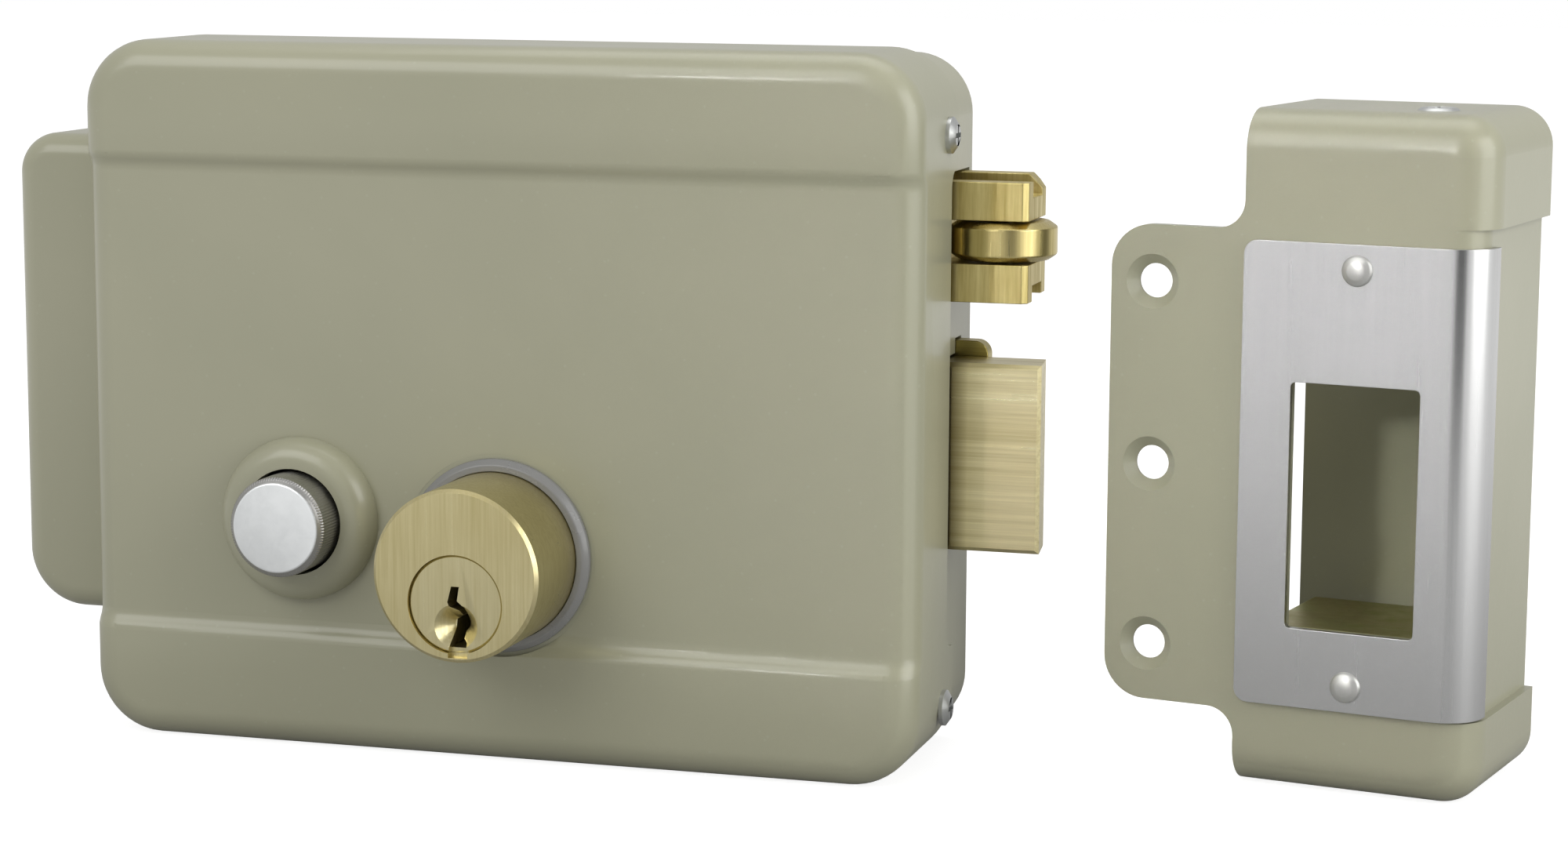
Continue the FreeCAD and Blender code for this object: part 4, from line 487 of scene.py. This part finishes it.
@dataclass(frozen=True)
class GrainedMetal(Finish):
    """Metal with a directional grain, clouds of tarnish and fine scratches.

    Where painted shade is asked for, that gives an axis and the places where the metal is unshaded and
    where the painted shade is darkest.
    """

    grain: Grain = Grain.UPRIGHT
    stain: Color = (0.3, 0.25, 0.12)
    stained: float = 0.25
    cloud_scale: float = 60.0
    depth: float = 0.02 * MM
    depth_strength: float = 0.35
    # Painted shade band: its axis, where it starts and where it is darkest, then its colour and
    # strength.
    painted_shade_band: Optional[tuple[str, float, float]] = None
    painted_shade_color: Color = (0.12, 0.09, 0.03)
    painted_shade_strength: float = 0.9

    def wire(self, coat: Coat) -> None:
        """Wire the grain into colour, gloss and relief, with stains and, where asked, a band of painted
        shade over it.
        """
        coat.fill(coat.shader, {"Metallic": 1.0})
        grain = coat.effect(SHOP.grain, Stretch=self.grain.value)
        cloud = coat.effect(SHOP.cloud, Scale=self.cloud_scale)
        tint = coat.between(grain.outputs["Tone"], self.shade, self.color)
        tint = coat.over(cloud.outputs["Mask"], tint, self.stain, self.stained)
        # Painted shade: the colour darkens along one axis, standing in for the shadow of a wall beside
        # the metal.
        if self.painted_shade_band:
            tint = coat.over(coat.along(*self.painted_shade_band), tint, self.painted_shade_color, self.painted_shade_strength)
        coat.surface(tint, grain.outputs["Tone"], self.rough, self.smooth)
        coat.bump(grain.outputs["Height"], self.depth, self.depth_strength)


@dataclass(frozen=True)
class KnurledCap(Finish):
    """A round metal cap with a cloudy face and a darker, finely ribbed side, its axis along Y."""

    cloud_scale: float = 300.0
    side: Color = (0.42, 0.415, 0.40)
    centre: Point = (-30.6 * MM, 0.0, 3.8 * MM)
    rim: float = -45.24 * MM
    rim_blend: float = 0.1 * MM
    ribs_start: float = 0.4 * MM
    ribs_full: float = 0.6 * MM
    ribs: float = 110.0
    rib_height: float = 0.1 * MM
    rib_strength: float = 0.6

    def wire(self, coat: Coat) -> None:
        """Wire the face's clouds, the darker side behind the rim and its ribs."""
        coat.fill(coat.shader, {"Metallic": 1.0})
        behind = coat.along("Y", self.rim, self.rim + self.rim_blend)
        cloud = coat.effect(SHOP.cloud, Scale=self.cloud_scale)
        face = coat.between(cloud.outputs["Mask"], self.color, self.shade)
        coat.surface(coat.over(behind, face, self.side, 1.0), cloud.outputs["Mask"], self.smooth,
                     self.rough)
        knurl = coat.effect(SHOP.knurl, Centre=self.centre, Ribs=self.ribs)
        ribbed = coat.along("Y", self.rim + self.ribs_start, self.rim + self.ribs_full)
        ribs = coat.combine("Math", "MULTIPLY", knurl.outputs["Height"], ribbed)
        coat.bump(ribs.outputs["Value"], self.rib_height, self.rib_strength)


@dataclass(frozen=True)
class Moulded(Finish):
    """Moulded plastic, with a fine grain and, where asked, some light passing through."""

    clear: float = 0.0
    refraction: float = 1.45
    cloud_scale: float = 90.0
    ripple_scale: float = 2600.0
    ripple: float = 0.02 * MM
    ripple_strength: float = 0.2

    def wire(self, coat: Coat) -> None:
        """Wire soft clouds and a faint ripple."""
        cloud = coat.effect(SHOP.cloud, Scale=self.cloud_scale)
        peel = coat.effect(SHOP.peel, Scale=self.ripple_scale)
        coat.surface(coat.between(cloud.outputs["Mask"], self.color, self.shade),
                     cloud.outputs["Mask"], self.smooth, self.rough)
        coat.fill(coat.shader, {"Transmission Weight": self.clear, "IOR": self.refraction})
        coat.bump(peel.outputs["Height"], self.ripple, self.ripple_strength)


@dataclass(frozen=True)
class Wound(Finish):
    """Enamelled wire laid side by side along X."""

    band_scale: float = 130.0
    unevenness: float = 0.4
    detail: float = 1.0
    metallic: float = 0.7
    relief: float = 0.2 * MM
    relief_strength: float = 0.6

    def wire(self, coat: Coat) -> None:
        """Wire bands across the winding for colour and relief."""
        bands = coat.fill(coat.node("TexWave", bands_direction="X"), {
            "Scale": self.band_scale, "Distortion": self.unevenness, "Detail": self.detail})
        coat.link(coat.place, bands.inputs["Vector"])
        coat.surface(coat.between(bands.outputs["Fac"], self.shade, self.color),
                     bands.outputs["Fac"], self.rough, self.smooth)
        coat.fill(coat.shader, {"Metallic": self.metallic})
        coat.bump(bands.outputs["Fac"], self.relief, self.relief_strength)


ENAMEL = Enamel("olive grey enamel", (0.352, 0.345, 0.245), (0.322, 0.320, 0.226), 0.30, 0.38)
TURNED_BRASS = GrainedMetal("turned brass", (0.76, 0.68, 0.40), (0.60, 0.52, 0.27), 0.26, 0.42,
                            grain=Grain.UPRIGHT, stain=(0.50, 0.42, 0.18), stained=0.35)
PLUG_BRASS = GrainedMetal("plug brass", (0.74, 0.67, 0.41), (0.60, 0.53, 0.29), 0.26, 0.40,
                          grain=Grain.UPRIGHT, stain=(0.52, 0.45, 0.22), stained=0.2)
# The deadbolt darkens within about 3 mm of the case's side wall: painted shade from that wall.
DRAWN_BRASS = GrainedMetal("drawn brass", (0.90, 0.82, 0.52), (0.56, 0.48, 0.25), 0.26, 0.38,
                           grain=Grain.LEVEL, stain=(0.62, 0.53, 0.27), stained=0.3,
                           depth=0.003 * MM, painted_shade_band=("X", 64.6 * MM, 61.8 * MM))
# A darker, more olive brass than the bolts', used for the trigger tongue.
DARKER_BRASS = GrainedMetal("darker brass", (0.52, 0.44, 0.15), (0.36, 0.29, 0.08), 0.24, 0.4,
                         grain=Grain.LEVEL, stain=(0.30, 0.24, 0.07), stained=0.4, depth=0.01 * MM)
ROLLER_BRASS = GrainedMetal("roller brass", (0.74, 0.64, 0.31), (0.56, 0.46, 0.19), 0.24, 0.38,
                            grain=Grain.UPRIGHT, stain=(0.52, 0.40, 0.14), stained=0.35)
SAWN_BRASS = GrainedMetal("sawn brass", (0.80, 0.70, 0.34), (0.46, 0.37, 0.13), 0.32, 0.5,
                          grain=Grain.SAWN, stain=(0.46, 0.35, 0.10), stained=0.4)
ZINC = GrainedMetal("bright zinc", (0.72, 0.73, 0.72), (0.55, 0.56, 0.55), 0.28, 0.45,
                    grain=Grain.CLOUDY, stain=(0.45, 0.46, 0.45), stained=0.4, cloud_scale=150.0)
YELLOW_ZINC = GrainedMetal("yellow zinc", (0.44, 0.43, 0.17), (0.32, 0.32, 0.12), 0.3, 0.5,
                           grain=Grain.CLOUDY, stain=(0.42, 0.30, 0.16), stained=0.5,
                           cloud_scale=110.0)
DARK_STEEL = GrainedMetal("hardened steel", (0.36, 0.36, 0.36), (0.24, 0.24, 0.24), 0.3, 0.5,
                          grain=Grain.ROUND, stain=(0.22, 0.2, 0.18), stained=0.3)
SPRING_STEEL = GrainedMetal("spring wire", (0.50, 0.50, 0.50), (0.36, 0.36, 0.36), 0.22, 0.4,
                            grain=Grain.CLOUDY, stain=(0.3, 0.3, 0.3), stained=0.3)
STAINLESS = GrainedMetal("grained stainless", (0.645, 0.645, 0.64), (0.615, 0.615, 0.61), 0.22, 0.28,
                         grain=Grain.UPRIGHT, stain=(0.58, 0.58, 0.575), stained=0.2,
                         cloud_scale=30.0, depth=0.004 * MM)
RIVET_STEEL = GrainedMetal("rivet steel", (0.70, 0.70, 0.67), (0.58, 0.58, 0.56), 0.42, 0.56,
                           grain=Grain.CLOUDY, stain=(0.48, 0.48, 0.46), stained=0.3,
                           cloud_scale=300.0)
CAP_METAL = KnurledCap("satin button metal", (0.97, 0.99, 0.99), (0.86, 0.88, 0.88), 0.34, 0.5)
COLLAR = Moulded("translucent collar", (0.315, 0.315, 0.305), (0.28, 0.28, 0.275), 0.2, 0.3,
                 clear=0.25)
BLACK_PLASTIC = Moulded("black moulding", (0.03, 0.03, 0.03), (0.045, 0.045, 0.045), 0.4, 0.55)
GREY_PLASTIC = Moulded("grey moulding", (0.42, 0.42, 0.41), (0.36, 0.36, 0.35), 0.4, 0.55)
RED_SLEEVE = Moulded("red sleeve", (0.45, 0.03, 0.025), (0.38, 0.025, 0.02), 0.4, 0.55)
TAPE = Moulded("coil tape", (0.62, 0.44, 0.08), (0.54, 0.38, 0.06), 0.35, 0.5)
COPPER = Wound("copper winding", (0.62, 0.26, 0.12), (0.30, 0.10, 0.04), 0.3, 0.45)


@dataclass(frozen=True)
class Squeeze:
    """How a spring shortens: the joint that presses it, its fixed end, its length and its travel."""

    joint: str
    axis: Point
    fixed_end: Point
    free_length: float
    travel: float

    @property
    def keep(self) -> float:
        """Return the share of the free length that is left when pressed."""
        return (self.free_length - self.travel) / self.free_length


@dataclass(frozen=True)
class Part:
    """One node of the model and how it is dressed.

    Attributes:
        node: The node's name.
        finish: Its finish.
        edge: How wide its edges are softened, or 0 for not at all.
        crease: Edges sharper than this angle, in degrees, stay edges.
        squeeze: How it shortens, if it is a spring that a joint presses.
    """

    node: str
    finish: Finish
    edge: float = 0.12 * MM
    crease: float = 32.0
    squeeze: Optional[Squeeze] = None


class Dresser:
    """Gives each node a finished skin: welded, smooth where it is round, with softened edges."""

    SAME_PLACE = 0.002 * MM
    NO_LENGTH = 0.001 * MM
    STILL_FLAT = 0.2
    EDGE_STEPS = 2

    def dress(self, part: Part) -> bpy.types.Object:
        """Make the finished piece for one node.

        Args:
            part: The node and its finish.

        Returns:
            The new piece, riding on the node's body.
        """
        source = frame["nodes"][part.node]
        mesh = source.data.copy()
        piece = put(part.node + "_skin", mesh)
        self.weld(mesh, part)
        mesh.materials.clear()
        mesh.materials.append(part.finish.material())
        if part.edge > 0.0:
            self.soften(piece, part)
        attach(piece, "case" if part.squeeze else source["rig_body"])
        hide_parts(part.node)
        if part.squeeze:
            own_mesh(piece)
        self.slot_of(part.node)
        LOG.info("%s dressed as %s", part.node, part.finish.name)
        return piece

    def soften(self, piece: bpy.types.Object, part: Part) -> None:
        """Round a piece's edges a little.

        Args:
            piece: The new piece.
            part: The node's settings.
        """
        bevel = piece.modifiers.new("soft edges", "BEVEL")
        bevel.width = part.edge
        bevel.segments = self.EDGE_STEPS
        bevel.limit_method = "ANGLE"
        bevel.angle_limit = math.radians(part.crease)
        bevel.harden_normals = True
        bevel.use_clamp_overlap = True

    def weld(self, mesh: bpy.types.Mesh, part: Part) -> None:
        """Join the loose triangles into flat faces and smooth the round ones.

        Args:
            mesh: The copied mesh.
            part: The node's settings.
        """
        work = bmesh.new()
        work.from_mesh(mesh)
        bmesh.ops.remove_doubles(work, verts=work.verts, dist=self.SAME_PLACE)
        bmesh.ops.dissolve_degenerate(work, edges=work.edges, dist=self.NO_LENGTH)
        bmesh.ops.dissolve_limit(work, angle_limit=math.radians(self.STILL_FLAT), verts=work.verts,
                                 edges=work.edges)
        work.to_mesh(mesh)
        work.free()
        mesh.polygons.foreach_set("use_smooth", [True] * len(mesh.polygons))
        mesh.set_sharp_from_angle(angle=math.radians(part.crease))

    def slot_of(self, node: str) -> str:
        """Return the material slot that the record gives a node."""
        for entry in frame["record"]["subparts"]:
            if entry["node"] == node:
                return entry["material_slot"]
        return ""


@dataclass
class Assembly:
    """A group of parts that belong together on the bench."""

    name: str = ""
    parts: tuple[Part, ...] = ()

    def build(self, dresser: Dresser) -> list[bpy.types.Object]:
        """Dress every part.

        Args:
            dresser: What makes the finished pieces.

        Returns:
            The new pieces.
        """
        LOG.info("building %s", self.name)
        return [dresser.dress(part) for part in self.parts if part.node in frame["nodes"]]


@dataclass
class LockCase(Assembly):
    """Front cover, tray, side box and the cover's screws."""

    name: str = "case"
    parts: tuple[Part, ...] = (
        Part("front_cover", ENAMEL, edge=0.25 * MM, crease=24.0),
        Part("rear_housing", ENAMEL, edge=0.25 * MM),
        Part("side_extension", ENAMEL, edge=0.25 * MM),
        Part("cover_screws", ZINC, edge=0.1 * MM),
    )


@dataclass
class KeyCylinder(Assembly):
    """Cylinder, plug, collar and what holds and drives them."""

    name: str = "key cylinder"
    parts: tuple[Part, ...] = (
        Part("cylinder_body", TURNED_BRASS, edge=0.1 * MM),
        Part("cylinder_plug", PLUG_BRASS, edge=0.06 * MM),
        Part("key_pins", TURNED_BRASS, edge=0.08 * MM),
        Part("cylinder_collar", COLLAR, edge=0.2 * MM),
        Part("cylinder_carrier", ZINC),
        Part("cylinder_screws", ZINC),
        Part("plug_pinion", DARK_STEEL),
        Part("plug_clip", SPRING_STEEL, edge=0.08 * MM),
        Part("cylinder_pins", TURNED_BRASS, edge=0.08 * MM),
        Part("pin_springs", SPRING_STEEL, edge=0.0),
    )


@dataclass
class Bolts(Assembly):
    """Deadbolt, roller latch and trigger with their tails and springs."""

    name: str = "bolts"
    parts: tuple[Part, ...] = (
        Part("deadbolt", DRAWN_BRASS, edge=0.12 * MM),
        Part("bolt_tail", ZINC),
        Part("bolt_rivets", ZINC, edge=0.1 * MM),
        Part("latch_fork", SAWN_BRASS, edge=0.15 * MM),
        Part("latch_roller", ROLLER_BRASS, edge=0.2 * MM),
        Part("roller_pin", DARK_STEEL, edge=0.1 * MM),
        Part("latch_pull", ZINC),
        Part("pull_rivets", ZINC, edge=0.1 * MM),
        Part("latch_spring", SPRING_STEEL, edge=0.0, squeeze=Squeeze(
            "latch_slide", ALONG_X, fixed_end=(16.0 * MM, 0.0, 0.0), free_length=22.544 * MM,
            travel=11.0 * MM)),
        Part("latch_strap", ZINC),
        Part("spring_seat", ZINC),
        Part("trigger_tongue", DARKER_BRASS, edge=0.2 * MM),
        Part("trigger_spring", SPRING_STEEL, edge=0.0, squeeze=Squeeze(
            "trigger_slide", ALONG_X, fixed_end=(30.5 * MM, 0.0, 0.0), free_length=8.908 * MM,
            travel=3.5 * MM)),
        Part("trigger_spring_seat", ZINC),
        Part("guide_studs", DARK_STEEL, edge=0.1 * MM),
    )


@dataclass
class ReleaseGear(Assembly):
    """Push button, rocker, solenoid and terminals."""

    name: str = "release gear"
    parts: tuple[Part, ...] = (
        Part("push_button", CAP_METAL, edge=0.12 * MM),
        Part("button_guide", GREY_PLASTIC),
        Part("button_clip", SPRING_STEEL, edge=0.08 * MM),
        Part("button_spring", SPRING_STEEL, edge=0.0, squeeze=Squeeze(
            "button_press", ALONG_Y, fixed_end=(0.0, -23.4 * MM, 0.0), free_length=9.575 * MM,
            travel=5.0 * MM)),
        Part("rocker", ZINC),
        Part("rocker_bracket", ZINC),
        Part("solenoid_frame", ZINC),
        Part("coil_bobbin", BLACK_PLASTIC),
        Part("coil_winding", COPPER, edge=0.0),
        Part("coil_tape", TAPE, edge=0.05 * MM),
        Part("coil_leads", RED_SLEEVE, edge=0.0),
        Part("plunger", DARK_STEEL),
        Part("terminal_block", BLACK_PLASTIC),
        Part("terminal_screws", ZINC, edge=0.08 * MM),
    )


@dataclass
class Keeper(Assembly):
    """The boxed keeper that stands beside the lock."""

    name: str = "keeper"
    parts: tuple[Part, ...] = (
        Part("keeper_shell", ENAMEL, edge=0.5 * MM, crease=24.0),
        Part("keeper_wear_plate", STAINLESS, edge=0.12 * MM),
        Part("keeper_bracket", YELLOW_ZINC, edge=0.15 * MM),
        Part("keeper_rivets", RIVET_STEEL, edge=0.1 * MM),
        Part("keeper_screws", ZINC, edge=0.1 * MM),
    )


@dataclass(frozen=True)
class SoftBox:
    """One soft lamp: its place, what it points at, its size, its power in watts and its throw."""

    name: str
    place: Point
    aim: Point
    size: tuple[float, float]
    power: float
    spread: float = 180.0


@dataclass
class Studio:
    """Floor, white surroundings, soft lamps and the camera."""

    room_light: float = 0.55
    room_seen: float = 1.0
    floor_level: float = -30.5 * MM
    floor_half: float = 3.0
    floor_middle: tuple[float, float] = (0.05, 0.0)
    floor_tone: Color = (0.34, 0.34, 0.34)
    glow_start: float = 0.09
    glow_end: float = 0.52
    glow_near: float = 0.04
    glow_far: float = 0.6
    glow_seen: float = 0.85
    card_place: Point = (0.25, -0.34, 0.22)
    card_aim: Point = (0.08, -0.02, 0.22)
    card_half: tuple[float, float] = (0.085, 0.25)
    card_tone: Color = (0.01, 0.01, 0.01)
    boxes: tuple[SoftBox, ...] = (
        SoftBox("key box", (-0.45, -0.95, 0.75), (0.0, 0.0, 0.02), (0.9, 0.7), 5.3),
        SoftBox("right box", (0.94, -0.24, 0.28), (0.08, -0.02, 0.02), (0.7, 0.9), 6.2),
        SoftBox("top box", (0.05, 0.15, 1.0), (0.03, 0.0, 0.0), (0.9, 0.6), 2.6),
        SoftBox("keeper spot", (-0.2, -0.85, 0.3), (0.12, 0.0, 0.02), (0.1, 0.1), 0.011, spread=8.5),
    )
    sensor: float = 36.0
    lens: float = 81.0
    nearest: float = 0.01
    farthest: float = 50.0
    eye: Vector = field(default_factory=lambda: Vector((178.75, -503.32, 94.19)) * MM)
    right: Vector = field(default_factory=lambda: Vector((0.9599, 0.2803, 0.0055)))
    up: Vector = field(default_factory=lambda: Vector((-0.0469, 0.1413, 0.9889)))
    ahead: Vector = field(default_factory=lambda: Vector((-0.2764, 0.9495, -0.1488)))

    def white_surroundings(self) -> None:
        """Light softly from all round, and show plain white to the eye and through clear pieces."""
        world = bpy.data.worlds.new("white room")
        bpy.context.scene.world = world
        world.use_nodes = True
        room = Wiring(world.node_tree)
        light = room.fill(room.nodes["Background"], {"Color": opaque((1.0, 1.0, 1.0))})
        rays = room.node("LightPath").outputs
        seen = room.combine("Math", "MAXIMUM", rays["Is Camera Ray"], rays["Is Transmission Ray"])
        level = room.remap(seen.outputs["Value"], to_min=self.room_light, to_max=self.room_seen)
        room.link(level, light.inputs["Strength"])

    def sheet(self, name: str, half: tuple[float, float], level: float = 0.0) -> bpy.types.Object:
        """Make one flat sheet.

        Args:
            name: Its name.
            half: Half its width and half its depth.
            level: Its height.

        Returns:
            The new sheet.
        """
        work = bmesh.new()
        bmesh.ops.create_grid(work, x_segments=1, y_segments=1, size=1.0)
        bmesh.ops.scale(work, vec=(*half, 1.0), verts=work.verts)
        bmesh.ops.translate(work, vec=(0.0, 0.0, level), verts=work.verts)
        mesh = bpy.data.meshes.new(name)
        work.to_mesh(mesh)
        work.free()
        return put(name, mesh)

    def floor(self) -> None:
        """Lay a white floor that keeps a faint shadow, and glows less near the lock."""
        plane = self.sheet("floor", (self.floor_half, self.floor_half), self.floor_level)
        coat = Coat("white floor")
        coat.nodes.remove(coat.shader)
        matte = coat.fill(coat.node("BsdfDiffuse"), {"Color": opaque(self.floor_tone)})
        glow = coat.node("Emission")
        middle = (*self.floor_middle, self.floor_level)
        away = coat.combine("VectorMath", "DISTANCE", coat.place, middle)
        fall = coat.remap(away.outputs["Value"], from_min=self.glow_start, from_max=self.glow_end,
                          to_min=self.glow_near, to_max=self.glow_far)
        level = coat.remap(coat.node("LightPath").outputs["Is Camera Ray"], to_max=self.glow_seen)
        coat.link(fall, level.node.inputs["To Min"])
        coat.link(level, glow.inputs["Strength"])
        both = coat.node("AddShader")
        coat.link(matte.outputs["BSDF"], both.inputs[0])
        coat.link(glow.outputs["Emission"], both.inputs[1])
        coat.link(both.outputs["Shader"], coat.nodes["Material Output"].inputs["Surface"])
        plane.data.materials.append(coat.material)

    def dark_card(self) -> None:
        """Stand a narrow dark card beside the camera, seen only in reflections."""
        card = self.sheet("dark card", self.card_half)
        card.location = self.card_place
        facing = Vector(self.card_aim) - Vector(self.card_place)
        card.rotation_euler = facing.to_track_quat("Z", "Y").to_euler()
        coat = Coat("black cloth")
        coat.fill(coat.shader, {"Base Color": opaque(self.card_tone)})
        card.data.materials.append(coat.material)
        card.visible_camera = False
        card.visible_diffuse = False
        card.visible_shadow = False
        card.visible_transmission = False

    def lamps(self) -> None:
        """Hang the soft boxes."""
        for box in self.boxes:
            data = bpy.data.lights.new(box.name, "AREA")
            data.shape = "RECTANGLE"
            data.size, data.size_y = box.size
            data.energy = box.power
            data.spread = math.radians(box.spread)
            lamp = put(box.name, data)
            lamp.location = box.place
            facing = Vector(box.aim) - Vector(box.place)
            lamp.rotation_euler = facing.to_track_quat("-Z", "Y").to_euler()

    def camera(self) -> None:
        """Set the camera up from its measured place and axes."""
        data = bpy.data.cameras.new("camera")
        data.sensor_width = self.sensor
        data.lens = self.lens
        data.clip_start = self.nearest
        data.clip_end = self.farthest
        camera = put("camera", data)
        turn = Matrix((self.right, self.up, -self.ahead)).transposed()
        camera.matrix_world = Matrix.Translation(self.eye) @ turn.to_4x4()
        bpy.context.scene.camera = camera

    def build(self) -> None:
        """Set everything up."""
        self.white_surroundings()
        self.floor()
        self.dark_card()
        self.lamps()
        self.camera()
        bpy.context.scene.view_settings.view_transform = "Standard"


def main() -> None:
    """Dress the lock and its keeper, then set the studio up."""
    logging.basicConfig(level=logging.INFO, format="%(message)s")
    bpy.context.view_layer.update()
    SHOP.open()
    dresser = Dresser()
    for assembly in (LockCase(), KeyCylinder(), Bolts(), ReleaseGear(), Keeper()):
        pieces = assembly.build(dresser)
        LOG.info("%s has %d pieces", assembly.name, len(pieces))
    Studio().build()


if __name__ == "__main__":
    main()
